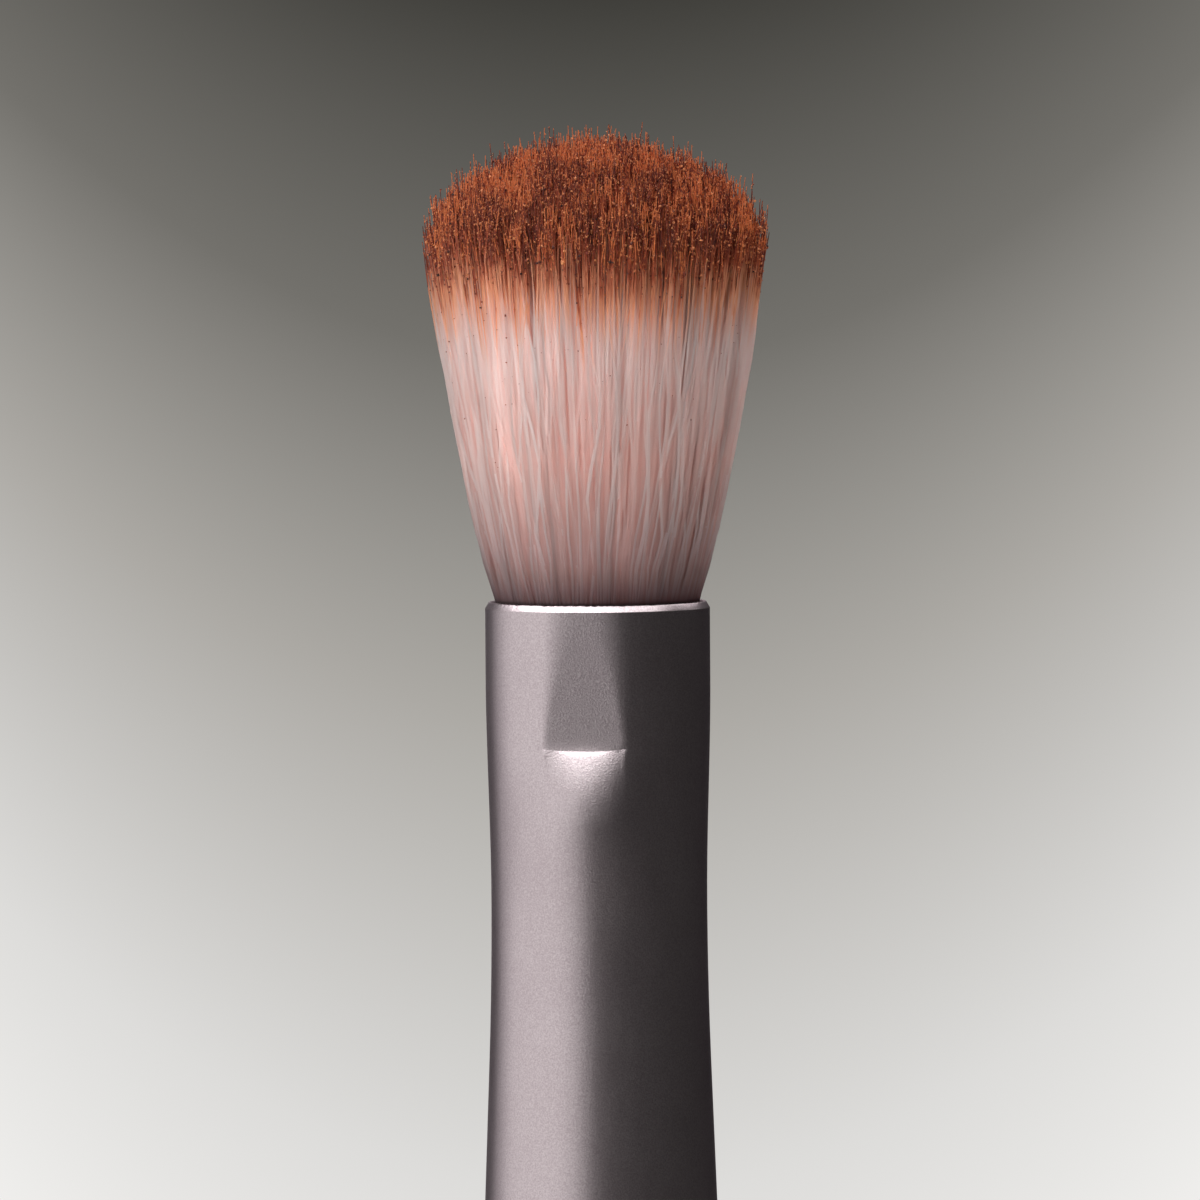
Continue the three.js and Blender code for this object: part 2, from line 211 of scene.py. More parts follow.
# Aluminium, blasted with fine beads and dyed in the anodising bath: a satin glow with soft edges,
# a pinch of sparkle where the light falls off, and faint lines left by the drawing or turning.
@dataclass(frozen=True)
class AnodisedAluminium(Finish):
    """Satin anodised aluminium in a mauve pink."""

    working: Working = Working.DRAWN
    dye: str = "#D1C5C7"
    dye_deep: str = "#B9AAAE"
    edge_dye: str = "#B4A6B6"
    roughness: float = 0.28
    line_roughness: float = 0.03
    grain: float = 0.055
    grain_height: float = 0.0065
    grain_tint: float = 4.0
    grain_range: Span = (0.37, 0.63)
    line: float = 0.07
    line_length: float = 7.0
    line_height: float = 0.0003
    line_range: Span = (0.25, 0.75)
    cloud: float = 3.5

    @property
    def name(self) -> str:
        """The material's name, with the way of working."""
        return f"anodised_aluminium_{self.working.value}"

    def line_place(self, tree: NodeTree, place: NodeSocket) -> NodeSocket:
        """Stretches the place along the lines.

        Args:
            tree: The material's node tree.
            place: The place on the piece, in metres.

        Returns:
            A place that changes slowly along the lines and fast across them.
        """
        fine = per_mm(self.line)
        if self.working is Working.DRAWN:
            along = per_mm(self.line_length)
            return add_node(tree, "Mapping", {"Vector": place, "Scale": (fine, fine, along)})
        flat = add_node(tree, "VectorMath", {0: place, 1: (1.0, 1.0, 0.0)}, operation="MULTIPLY")
        radius = add_node(tree, "VectorMath", {0: flat}, operation="LENGTH")
        height = add_node(tree, "SeparateXYZ", {"Vector": place}, "Z")
        across = add_node(tree, "CombineXYZ", {"X": radius, "Y": height})
        return add_node(tree, "VectorMath", {0: across, 1: (fine, fine, fine)}, operation="MULTIPLY")

    def looks(self, tree: NodeTree) -> dict:
        """Adds the dye's clouds, the blasted grain and the lines.

        Args:
            tree: The material's node tree.

        Returns:
            What goes in the shader's sockets.
        """
        place = add_node(tree, "TexCoord", output="Object")
        clouds = add_node(tree, "TexNoise", {"Vector": place, "Scale": per_mm(self.cloud), "Detail": 3.0})
        grain = add_node(tree, "TexNoise", {"Vector": place, "Scale": per_mm(self.grain)})
        lines = add_node(tree, "TexNoise", {"Vector": self.line_place(tree, place), "Scale": 1.0})
        mottle = add_node(tree, "Math", {0: grain, 1: self.grain_tint, 2: clouds}, operation="MULTIPLY_ADD")
        least, most = ((1 + self.grain_tint) * share for share in self.grain_range)
        dyed = add_node(tree, "MapRange", {"Value": mottle, "From Min": least, "From Max": most})
        rough = add_node(
            tree, "MapRange", {
                "Value": lines, "From Min": self.line_range[0], "From Max": self.line_range[1],
                "To Min": self.roughness, "To Max": self.roughness + self.line_roughness,
            },
        )
        lined = add_node(tree, "Bump", {"Height": lines, "Distance": self.line_height * MM})
        return {
            "Base Color": add_ramp(tree, dyed, [(0.0, self.dye), (1.0, self.dye_deep)]),
            "Metallic": 1.0,
            "Roughness": rough,
            "Specular Tint": linear(self.edge_dye),
            "Normal": add_node(
                tree, "Bump", {"Height": grain, "Distance": self.grain_height * MM, "Normal": lined}
            ),
        }


class Relief(Enum):
    """Kinds of fine unevenness, by the texture that gives them."""

    GRAIN = "TexNoise"
    DENTS = "TexVoronoi"


@dataclass(frozen=True)
class Mottled(Finish):
    """A clouded material with a fine relief."""

    name: str
    tints: Stops
    cloud: float
    relief: float
    relief_height: float
    roughness: float
    sockets: dict[str, float]
    cloud_detail: float = 2.0
    relief_kind: Relief = Relief.GRAIN
    relief_strength: float = 1.0
    roughness_spread: float = 0.0

    def looks(self, tree: NodeTree) -> dict:
        """Adds the clouds and the relief.

        Args:
            tree: The material's node tree.

        Returns:
            What goes in the shader's sockets.
        """
        place = add_node(tree, "TexCoord", output="Object")
        clouds = add_node(
            tree, "TexNoise", {"Vector": place, "Scale": per_mm(self.cloud), "Detail": self.cloud_detail}
        )
        relief = add_node(tree, self.relief_kind.value, {"Vector": place, "Scale": per_mm(self.relief)})
        rough = self.roughness
        if self.roughness_spread:
            ends = {"To Min": rough - self.roughness_spread, "To Max": rough + self.roughness_spread}
            rough = add_node(tree, "MapRange", {"Value": clouds, **NOISE_SPAN, **ends})
        depth = {"Distance": self.relief_height * MM, "Strength": self.relief_strength}
        return {
            "Base Color": add_ramp(tree, clouds, self.tints),
            "Roughness": rough,
            "Normal": add_node(tree, "Bump", {"Height": relief, **depth}),
            **self.sockets,
        }


# Soft-touch elastomer moulded over the core: matt, with a velvety edge, a fine skin texture and
# slightly shinier clouds where fingers have polished it.
SOFT_TOUCH_RUBBER = Mottled(
    name="soft_touch_elastomer_moulded",
    tints=((0.0, "#77696E"), (1.0, "#6B5E64")),
    cloud=14.0,
    cloud_detail=4.0,
    relief=0.22,
    relief_height=0.012,
    roughness=0.6,
    roughness_spread=0.08,
    sockets={"Sheen Weight": 0.15, "Sheen Roughness": 0.5},
)

# Injection-moulded plastic with a spark-eroded mould skin: dull, even, with faint flow clouds.
MOULDED_PLASTIC = Mottled(
    name="abs_plastic_moulded",
    tints=((0.0, "#3B3639"), (1.0, "#322E31")),
    cloud=5.0,
    relief=0.12,
    relief_height=0.008,
    roughness=0.55,
    sockets={},
)

# Hardened epoxy: amber, glossy and clouded inside, with the small dents of burst bubbles.
HARDENED_EPOXY = Mottled(
    name="epoxy_cast",
    tints=((0.0, "#D9C48F"), (1.0, "#B9985A")),
    cloud=1.4,
    relief=0.35,
    relief_height=0.02,
    relief_kind=Relief.DENTS,
    roughness=0.2,
    sockets={"IOR": 1.55},
)

# Twisted cotton: matt off-white, with dark creases between the plies and a soft fuzz at its edge.
COTTON_THREAD = Mottled(
    name="cotton_thread_twisted",
    tints=((0.35, "#B9AEA2"), (0.55, "#F0EAE2")),
    cloud=0.09,
    relief=0.09,
    relief_height=0.045,
    relief_strength=0.6,
    roughness=0.9,
    sockets={"Sheen Weight": 0.4},
)


# Extruded synthetic filament: pale, waxy and translucent, so that light soaks into the bundle and
# comes out pink, with copper powder caked on the tips and thinning to single specks below.
@dataclass(frozen=True)
class PowderedFilament(Finish):
    """Pale pink filament with eyeshadow on its tips."""

    name: str = "pbt_filament_extruded"
    tints: Stops = ((0.0, "#E2A9A1"), (0.45, "#E3CBC6"), (1.0, "#EBE5E4"))
    # Painted shade: a thin dark line just above the rim, then filaments darkening towards the root where the
    # tuft's overhang and the ferrule shade them
    root_painted_shade: Stops = (
        (0.0, "#2A1F20"), (0.006, "#2A1F20"), (0.013, "#524246"),
        (0.24, "#B2A3A3"), (0.6, "#ECDEDB"), (1.0, "#FFFFFF"),
    )
    root_shade_reach: float = 8.5
    dust: str = "#F09A6A"
    dust_reach: float = 2.0
    dust_cover: float = 0.9
    # Powder colours by distance from the tip: brighter tips as painted light, darker powder deeper down as
    # painted shade among the tips
    powder_tip: str = "#EC834A"
    powder_body: str = "#8E3A24"
    powder_deep_painted_shade: str = "#5A2318"
    powder_thin: str = "#CB5933"
    powder_tip_depth: float = 0.35
    powder_body_depth: float = 1.1
    powder_patch: float = 0.16
    powder_roughness: float = 0.9
    speck: float = 0.09
    speck_depth: float = 0.28
    blotch: float = 0.9
    blotch_stretch: float = 1.8
    blotch_depth: float = 0.3
    streak: float = 0.14
    streak_length: float = 0.8
    fade: float = 0.7
    cover_fades: Span = (-0.2, 1.7)
    thick_fades: Span = (0.4, 3.0)
    ragged: float = 0.5
    roughness: float = 0.38
    soak: float = 0.5
    soak_weight: float = 0.35
    glow: float = 0.97
    glow_colour: str = "#FFFBFA"

    def strand(
        self, tree: NodeTree, height: NodeSocket, tone: NodeSocket, powder: NodeSocket
    ) -> NodeSocket:
        """Adds the bare filament's colour.

        Args:
            tree: The material's node tree.
            height: Height above the ferrule's rim.
            tone: Place on the way from deep rose to pale.
            powder: Height above the powder's border.

        Returns:
            The colour, darkened towards the root as painted shade and dusted near the powder.
        """
        bare = add_ramp(tree, tone, self.tints)
        rising = add_node(tree, "MapRange", {"Value": height, "From Max": self.root_shade_reach})
        # Painted shade towards the root, multiplied into the filament's colour
        root_shade_tint = add_ramp(tree, rising, self.root_painted_shade)
        root_shaded_colour = add_node(
            tree, "Mix", {"Factor": 1.0, MIX_A: bare, MIX_B: root_shade_tint}, data_type="RGBA", blend_type="MULTIPLY"
        )
        haze = add_node(
            tree, "MapRange", {
                "Value": powder, "From Min": -self.dust_reach, "From Max": self.fade / 2,
                "To Max": self.dust_cover,
            },
            interpolation_type="SMOOTHSTEP",
        )
        dust = linear(self.dust)
        return add_node(tree, "Mix", {"Factor": haze, MIX_A: root_shaded_colour, MIX_B: dust}, data_type="RGBA")

    def coverage(self, tree: NodeTree, place: NodeSocket, powder: NodeSocket) -> list[NodeSocket]:
        """Adds the powder's ragged border.

        Args:
            tree: The material's node tree.
            place: The place on the piece, in metres.
            powder: Height above the powder's border.

        Returns:
            How much of the filament is covered, and how thickly.
        """
        across = per_mm(self.streak)
        scale = (across, across, per_mm(self.streak_length))
        streaked = add_node(tree, "Mapping", {"Vector": place, "Scale": scale})
        streaks = add_node(tree, "TexNoise", {"Vector": streaked, "Scale": 1.0})
        swing = {"To Min": -self.ragged, "To Max": self.ragged}
        ragged = add_node(tree, "MapRange", {"Value": streaks, **NOISE_SPAN, **swing})
        reach = add_node(tree, "Math", {0: powder, 1: ragged}, operation="ADD")
        return [
            add_node(
                tree, "MapRange",
                {"Value": reach, "From Min": low * self.fade, "From Max": high * self.fade},
                interpolation_type="SMOOTHSTEP",
            )
            for low, high in (self.cover_fades, self.thick_fades)
        ]

    def cake(
        self, tree: NodeTree, place: NodeSocket, tip: NodeSocket, caked: NodeSocket
    ) -> NodeSocket:
        """Adds the thick powder's colour.

        Args:
            tree: The material's node tree.
            place: The place on the piece, in metres.
            tip: Distance from the filament's tip.
            caked: How much darker or lighter the whole clump is.

        Returns:
            The colour, bright at the tip and dark deeper down as painted light and shade, with specks and
            wide patches.
        """
        specks = add_node(tree, "TexNoise", {"Vector": place, "Scale": per_mm(self.speck)})
        swing = {"To Min": self.speck_depth, "To Max": -self.speck_depth}
        dusty = add_node(tree, "MapRange", {"Value": specks, **NOISE_SPAN, **swing})
        patchy = add_node(tree, "Math", {0: caked, 1: self.powder_patch, 2: dusty}, operation="MULTIPLY_ADD")
        wide = per_mm(self.blotch)
        scale = (wide, wide, wide / self.blotch_stretch)
        stretched = add_node(tree, "Mapping", {"Vector": place, "Scale": scale})
        blotches = add_node(tree, "TexNoise", {"Vector": stretched, "Scale": 1.0})
        swing = {"To Min": -self.blotch_depth, "To Max": self.blotch_depth}
        blotched = add_node(tree, "MapRange", {"Value": blotches, **NOISE_SPAN, **swing})
        uneven = add_node(tree, "Math", {0: blotched, 1: patchy}, operation="ADD")
        whole = 2 * self.powder_body_depth
        # Painted shade: the powder darkens with distance from the tip
        depth = add_node(tree, "MapRange", {"Value": tip, "From Max": whole})
        powder_shade_place = add_node(tree, "Math", {0: depth, 1: uneven}, operation="ADD", use_clamp=True)
        stops = [
            (0.0, self.powder_tip),
            (self.powder_tip_depth / whole, self.powder_body),
            (self.powder_body_depth / whole, self.powder_deep_painted_shade),
            (1.0, self.powder_deep_painted_shade),
        ]
        return add_ramp(tree, powder_shade_place, stops)

    def surface(self, tree: NodeTree) -> NodeSocket:
        """Adds the filament's colour, the powder on it and the light that soaks through.

        Args:
            tree: The material's node tree.

        Returns:
            What the material shows.
        """
        place = add_node(tree, "TexCoord", output="Object")
        height, tone, powder, tip, caked = (
            add_node(tree, "Attribute", output="Fac", attribute_name=name)
            for name in ("height", "tone", "powder", "tip", "cake")
        )
        strand = self.strand(tree, height, tone, powder)
        cover, thick = self.coverage(tree, place, powder)
        cake = self.cake(tree, place, tip, caked)
        thin = linear(self.powder_thin)
        coat = add_node(tree, "Mix", {"Factor": thick, MIX_A: thin, MIX_B: cake}, data_type="RGBA")
        rough, soaked, clear = (
            add_node(tree, "MapRange", {"Value": cover, "To Min": bare, "To Max": coated})
            for bare, coated in (
                (self.roughness, self.powder_roughness), (self.soak_weight, 0.0), (self.glow, 0.0),
            )
        )
        shader = add_node(
            tree, "BsdfPrincipled", {
                "Base Color": add_node(
                    tree, "Mix", {"Factor": cover, MIX_A: strand, MIX_B: coat}, data_type="RGBA"
                ),
                "Roughness": rough,
                "IOR": 1.48,
                "Specular IOR Level": 0.35,
                "Subsurface Weight": soaked,
                "Subsurface Radius": (1.0, 0.8, 0.75),
                "Subsurface Scale": self.soak * MM,
            },
            subsurface_method="BURLEY",
        )
        shaded = add_node(tree, "LightPath", output="Is Shadow Ray")
        passed = add_node(tree, "Math", {0: shaded, 1: clear}, operation="MULTIPLY")
        light = add_node(tree, "BsdfTransparent", {"Color": linear(self.glow_colour)})
        return add_node(tree, "MixShader", {0: passed, 1: shader, 2: light})


# Pressed eyeshadow broken into crumbs: dull copper, each crumb a little lighter or darker, and darker deeper
# down among the tips as painted shade.
@dataclass(frozen=True)
class EyeshadowPowder(Finish):
    """Loose copper eyeshadow."""

    name: str = "eyeshadow_powder_pressed"
    tints: Stops = ((0.0, "#3C1910"), (0.5, "#98412A"), (1.0, "#F0965C"))
    crumb: float = 0.03
    crumb_height: float = 0.0075

    def looks(self, tree: NodeTree) -> dict:
        """Adds the crumbs' colours and their rough surface.

        Args:
            tree: The material's node tree.

        Returns:
            What goes in the shader's sockets.
        """
        place = add_node(tree, "TexCoord", output="Object")
        tone = add_node(tree, "Attribute", output="Fac", attribute_name="tone")
        crumbs = add_node(tree, "TexNoise", {"Vector": place, "Scale": per_mm(self.crumb)})
        depth = {"Distance": self.crumb_height * MM, "Strength": 0.5}
        return {
            "Base Color": add_ramp(tree, tone, self.tints),
            "Roughness": 0.85,
            "Normal": add_node(tree, "Bump", {"Height": crumbs, **depth}),
        }


# Matt studio paper: pale and even with a faint fibre, melting into the backdrop at its edge.
@dataclass(frozen=True)
class FloorPaper(Finish):
    """Pale paper of the floor."""

    radius: float
    fade: float
    name: str = "paper_matt"
    tints: Stops = ((0.3, "#D6D5D3"), (0.7, "#DCDBD9"))
    fibre: float = 1.5
    clear_from: float = 0.99

    def surface(self, tree: NodeTree) -> NodeSocket:
        """Adds the fibre and the fading edge.

        Args:
            tree: The material's node tree.

        Returns:
            What the material shows.
        """
        place = add_node(tree, "TexCoord", output="Object")
        fibre = add_node(tree, "TexNoise", {"Vector": place, "Scale": per_mm(self.fibre), "Detail": 4.0})
        tint = add_ramp(tree, fibre, self.tints)
        matt = add_node(tree, "BsdfPrincipled", {"Base Color": tint, "Roughness": 0.9})
        clear = add_node(tree, "BsdfTransparent")
        out = add_node(tree, "VectorMath", {0: place}, operation="LENGTH")
        faded = add_node(
            tree, "MapRange", {
                "Value": out,
                "From Min": (self.radius - self.fade) * MM,
                "From Max": self.radius * MM * self.clear_from,
            },
            interpolation_type="SMOOTHSTEP",
        )
        return add_node(tree, "MixShader", {0: faded, 1: matt, 2: clear})


# Evenly lit card: a flat tone that the metal mirrors as a soft band.
@dataclass(frozen=True)
class CardPaper(Finish):
    """Glowing paper of a card."""

    name: str
    radiance: float

    def surface(self, tree: NodeTree) -> NodeSocket:
        """Adds the card's even glow."""
        return add_node(tree, "Emission", {"Strength": self.radiance})


def turned(name: str, outline: Outline, sides: int, sweep: float = TURN) -> Object:
    """Turns an outline round the brush's axis.

    Args:
        name: The piece's name.
        outline: Radius and height of each point, in millimetres.
        sides: Steps of the turn.
        sweep: Angle of the turn, from +X.

    Returns:
        The turned piece, smooth all over.
    """
    bpy.ops.object.select_all(action="DESELECT")
    bpy.ops.mesh.primitive_plane_add(size=MM)
    piece = bpy.context.object
    piece.name = name
    piece.data.name = name
    bpy.ops.object.mode_set(mode="EDIT")
    bpy.ops.mesh.merge(type="CENTER")
    last = Vector((0.0, 0.0, 0.0))
    for index, (radius, height) in enumerate(outline):
        place = Vector((radius * MM, 0.0, height * MM))
        if index:
            bpy.ops.mesh.extrude_region_move(TRANSFORM_OT_translate={"value": place - last})
        else:
            bpy.ops.transform.translate(value=place - last)
        last = place
    bpy.ops.mesh.select_all(action="SELECT")
    bpy.ops.mesh.spin(steps=sides, angle=sweep, center=(0, 0, 0), axis=(0, 0, 1))
    bpy.ops.mesh.select_all(action="SELECT")
    bpy.ops.mesh.remove_doubles(threshold=MM / 1000)
    bpy.ops.mesh.normals_make_consistent(inside=False)
    bpy.ops.object.mode_set(mode="OBJECT")
    bpy.ops.object.shade_smooth()
    return piece


def points_of(mesh: Mesh) -> Array:
    """Reads a mesh's points.

    Args:
        mesh: The mesh.

    Returns:
        One row of x, y and z in metres for each point.
    """
    places = np.empty(len(mesh.vertices) * 3, dtype=np.float32)
    mesh.vertices.foreach_get("co", places)
    return places.reshape(-1, 3).astype(float)


def arc(centre: Span, radius: float, start: float, end: float, steps: int) -> Outline:
    """Points of a round edge.

    Args:
        centre: Radius and height of the arc's centre.
        radius: The arc's own radius.
        start: First angle in degrees, from the outward direction.
        end: Last angle.
        steps: Steps along the arc.

    Returns:
        Radius and height of each point.
    """
    angles = np.radians(np.linspace(start, end, steps + 1))
    return [(centre[0] + radius * math.cos(a), centre[1] + radius * math.sin(a)) for a in angles]


def dress(piece: Object, finish: Finish) -> None:
    """Gives a piece its finish.

    Args:
        piece: The piece.
        finish: Its finish.
    """
    piece.data.materials.clear()
    piece.data.materials.append(finish.material())


def settle(piece: Object, finish: Finish, node: str) -> Object:
    """Dresses a piece of the handle and puts it in the place of a CAD node.

    Args:
        piece: The piece.
        finish: Its finish.
        node: The CAD node.

    Returns:
        The same piece.
    """
    dress(piece, finish)
    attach(piece, "handle")
    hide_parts(node)
    return piece


def report(piece: Object) -> None:
    """Logs a finished piece with its number of faces."""
    LOG.info("%s: %d faces", piece.name, len(piece.data.polygons))


def top_of(node: str) -> float:
    """Height of a CAD node's highest point, in millimetres."""
    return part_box(node)[1][2] / MM


def bottom_of(node: str) -> float:
    """Height of a CAD node's lowest point, in millimetres."""
    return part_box(node)[0][2] / MM


@dataclass
class Ferrule:
    """Drawn tube with a slight waist, a rolled rim and a thumb flat pressed into its front."""

    rim: float = top_of("ferrule")
    foot: float = bottom_of("ferrule")
    wall: float = 0.37
    mouth_radius: float = 4.0
    mouth_straight: float = 2.8
    neck_radius: float = 3.845
    neck_drop: float = 10.5
    flare_slope: float = 0.0375
    flare_blend: float = 6.0
    rim_bevel: float = 0.08
    first_row: float = 0.1
    chamfer_drop: float = 0.2
    chamfer_depth: float = 0.12
    chamfer_round: float = 0.04
    chamfer_steps: tuple[int, int] = (6, 4)
    rim_nick: float = 0.012
    nick_waves: range = range(5, 60, 3)
    nick_calm: float = 4.0
    flat_end: float = 5.16
    flat_half_at_rim: float = 1.15
    fillet_length: float = 0.5
    fillet_rise: float = 0.06
    fillet_rows: int = 12
    ledge_height: float = 0.1
    ledge_sag: float = 0.12
    ledge_half: float = 1.56
    ledge_rows: int = 10
    lip_depth: float = 0.2
    lip_share: float = 0.92
    lip_fullness: float = 0.8
    lip_bulge: float = 0.31
    lip_power: float = 1.6
    lip_length: float = 2.6
    lip_rows: int = 30
    bulge_length: float = 5.0
    bulge_sides: Span = (0.6, 2.0)
    edge_soft_at_rim: float = 0.2
    edge_soft_at_ledge: float = 0.07
    fine_row: float = 0.08
    coarse_row: float = 1.2
    inside_every: int = 2
    sides: int = 360

    def outer_radius(self, drop: Array) -> Array:
        """Radius of the tube's outside.

        Args:
            drop: Distances below the rim.

        Returns:
            The radius at each, without the flat.
        """
        share = smoothstep(self.mouth_straight, self.neck_drop, drop)
        mouth = self.mouth_radius + (self.neck_radius - self.mouth_radius) * share
        past = np.maximum(drop - self.neck_drop, 0)
        blend = self.flare_slope * past**2 / (2 * self.flare_blend)
        flare = self.flare_slope * (past - self.flare_blend / 2)
        return mouth + np.where(past <= self.flare_blend, blend, flare)

    def flat_depth(self, drop: Array, across: Array) -> Array:
        """Depth of the flat below the round tube's front, so that its sides spread in straight lines.

        Args:
            drop: Distances below the rim.
            across: Distances from the middle line, as shares of half the ledge.

        Returns:
            The depth at each, rising in a small arched fillet towards the ledge.
        """
        fall = np.clip(drop / self.flat_end, 0, 1)
        half = self.flat_half_at_rim + (self.ledge_half - self.flat_half_at_rim) * fall
        runout = np.clip((drop - self.flat_end) / self.fillet_length + 1, 0, 1)
        arch = self.fillet_rise * runout**2 * np.clip(1 - across**2, 0, 1)
        return half**2 / (2 * self.outer_radius(drop)) - arch

    def lip_offset(self, drop: Array, across: Array) -> Array:
        """Depth of the metal below the ledge: pulled in beside the flat, then bulging out.

        Args:
            drop: Distances below the rim.
            across: Distances from the middle line, as shares of half the ledge.

        Returns:
            The depth at each, less than zero where the metal bulges.
        """
        past = drop - self.flat_end - self.ledge_height
        rise = np.clip(1 - past / self.lip_length, 0, 1) ** self.lip_power
        calm = 1 - smoothstep(self.lip_length, self.lip_length + self.bulge_length, past)
        hollow = np.clip(1 - (across / self.lip_share) ** 2, 0, 1) ** self.lip_fullness
        beside = 1 - smoothstep(*self.bulge_sides, np.abs(across))
        return self.lip_depth * rise * hollow - self.lip_bulge * (calm - rise) * beside

    def rows(self) -> Array:
        """Distances below the rim of the rows of faces.

        Returns:
            The distances, close together round the flat.
        """
        fillet = self.flat_end - self.fillet_length
        ledge_foot = self.flat_end + self.ledge_height
        lip_foot = ledge_foot + self.lip_length
        length = self.rim - self.foot
        return np.concatenate([
            np.arange(self.chamfer_drop + self.first_row, fillet, self.fine_row),
            np.linspace(fillet, self.flat_end, self.fillet_rows, endpoint=False),
            np.linspace(self.flat_end, ledge_foot, self.ledge_rows, endpoint=False),
            np.linspace(ledge_foot, lip_foot, self.lip_rows, endpoint=False),
            np.linspace(lip_foot, length, int(length / self.coarse_row)),
        ])

    def outline(self) -> Outline:
        """The wall's closed outline: rolled rim, outside downwards, inside upwards.

        Returns:
            Radius and height of each point.
        """
        rows = self.rows()
        outer = self.outer_radius(rows)
        tilt = math.degrees(math.atan2(self.chamfer_depth, self.chamfer_drop))
        small = self.chamfer_round
        top_centre = (self.mouth_radius - self.chamfer_depth - small, self.rim - small)
        low_centre = (self.mouth_radius - small, self.rim - self.chamfer_drop - small)
        rolled = [
            *arc(top_centre, small, 90, tilt, self.chamfer_steps[0]),
            *arc(low_centre, small, tilt, 0, self.chamfer_steps[1]),
        ]
        outside = [(radius, self.rim - drop) for radius, drop in zip(outer, rows)]
        inside = [(radius - self.wall, height) for radius, height in outside[::-self.inside_every]]
        bore = self.mouth_radius - self.wall
        bevel = [(bore, self.rim - self.rim_bevel), (bore + self.rim_bevel, self.rim)]
        return [*rolled, *outside[1:], *inside, *bevel, rolled[0]]

    def press(self, piece: Object) -> None:
        """Presses the thumb flat into both walls and nicks the rim, which no operator can shape.

        Args:
            piece: The round tube.
        """
        places = points_of(piece.data) / MM
        angle = np.arctan2(places[:, 1], places[:, 0])
        across = places[:, 0] / self.ledge_half
        drop = self.rim - places[:, 2]
        radius = self.outer_radius(drop)
        front = radius * np.sin(angle)
        pressed = self.flat_depth(drop, across) - radius
        share = smoothstep(0, self.flat_end, drop)
        soft = self.edge_soft_at_rim + (self.edge_soft_at_ledge - self.edge_soft_at_rim) * share
        overlap = np.clip(1 - np.abs(front - pressed) / soft, 0, 1)
        flat = np.maximum(front, pressed) + soft * overlap**2 / 4
        lip = front + self.lip_offset(drop, across)
        past = drop - self.flat_end
        step = np.clip(past / self.ledge_height, 0, 1)
        moved = flat * (1 - step) + lip * step
        places[:, 1] += np.where(front < 0, moved - front, 0)
        near_ledge = smoothstep(-self.lip_length, 0, past)
        near_ledge *= 1 - smoothstep(0, self.lip_length, past - self.ledge_height)
        places[:, 2] += np.where(front < 0, self.ledge_sag * np.minimum(across**2, 1) * near_ledge, 0)
        rng = np.random.default_rng(SEED)
        nicks = sum(
            np.cos(wave * angle + rng.uniform(0, TURN)) * rng.normal(0, 1) for wave in self.nick_waves
        )
        near_rim = np.clip(1 - drop / self.chamfer_drop, 0, 1)
        places[:, 2] -= self.rim_nick * np.abs(nicks / self.nick_calm) * near_rim
        piece.data.vertices.foreach_set("co", (places * MM).astype(np.float32).ravel())
        piece.data.update()

    def build(self) -> Object:
        """Turns, presses and dresses the ferrule.

        Returns:
            The finished piece.
        """
        piece = turned("ferrule_tube", self.outline(), self.sides)
        self.press(piece)
        return settle(piece, AnodisedAluminium(Working.DRAWN), "ferrule")


@dataclass
class GripSleeve:
    """Soft sleeve over the handle core, straight at the cap and in line with the ferrule's flare."""

    top: float = top_of("grip_sleeve")
    foot: float = bottom_of("grip_sleeve")
    radius: float = 6.65
    top_radius: float = 5.21
    flare_slope: float = 0.0375
    upper_pull: float = 30.0
    lower_pull: float = 26.0
    wall: float = 1.0
    foot_round: float = 0.25
    foot_steps: int = 6
    top_round: float = 0.12
    top_steps: int = 5
    rows: int = 72
    inside_every: int = 4
    sides: int = 160

    def curve(self, share: Array) -> Outline:
        """Outside of the sleeve as a curve with four poles.

        Args:
            share: Places along the curve, from 0 at the foot to 1 at the top.

        Returns:
            Radius and height at each place.
        """
        pole_radius = self.top_radius + self.flare_slope * self.upper_pull
        radii = (self.radius, self.radius, pole_radius, self.top_radius)
        heights = (self.foot, self.foot + self.lower_pull, self.top - self.upper_pull, self.top)
        weights = ((1 - share) ** 3, 3 * share * (1 - share) ** 2, 3 * share**2 * (1 - share), share**3)
        radius = sum(weight * pole for weight, pole in zip(weights, radii))
        height = sum(weight * pole for weight, pole in zip(weights, heights))
        return list(zip(radius, height))

    def build(self) -> Object:
        """Turns and dresses the sleeve.

        Returns:
            The finished piece.
        """
        outside = self.curve(np.linspace(0, 1, self.rows))
        inside = [(radius - self.wall, height) for radius, height in outside[::-self.inside_every]]
        low, high = self.foot + self.foot_round, self.top - self.top_round
        lower = arc((self.radius - self.foot_round, low), self.foot_round, -90, 0, self.foot_steps)
        upper = arc((self.top_radius - self.top_round, high), self.top_round, 0, 90, self.top_steps)
        middle = [(radius, height) for radius, height in outside if low < height < high]
        closing = (self.radius - self.wall, self.foot)
        outline = [*lower, *middle, *upper, *inside, closing, lower[0]]
        piece = turned("grip_soft_sleeve", outline, self.sides)
        return settle(piece, SOFT_TOUCH_RUBBER, "grip_sleeve")


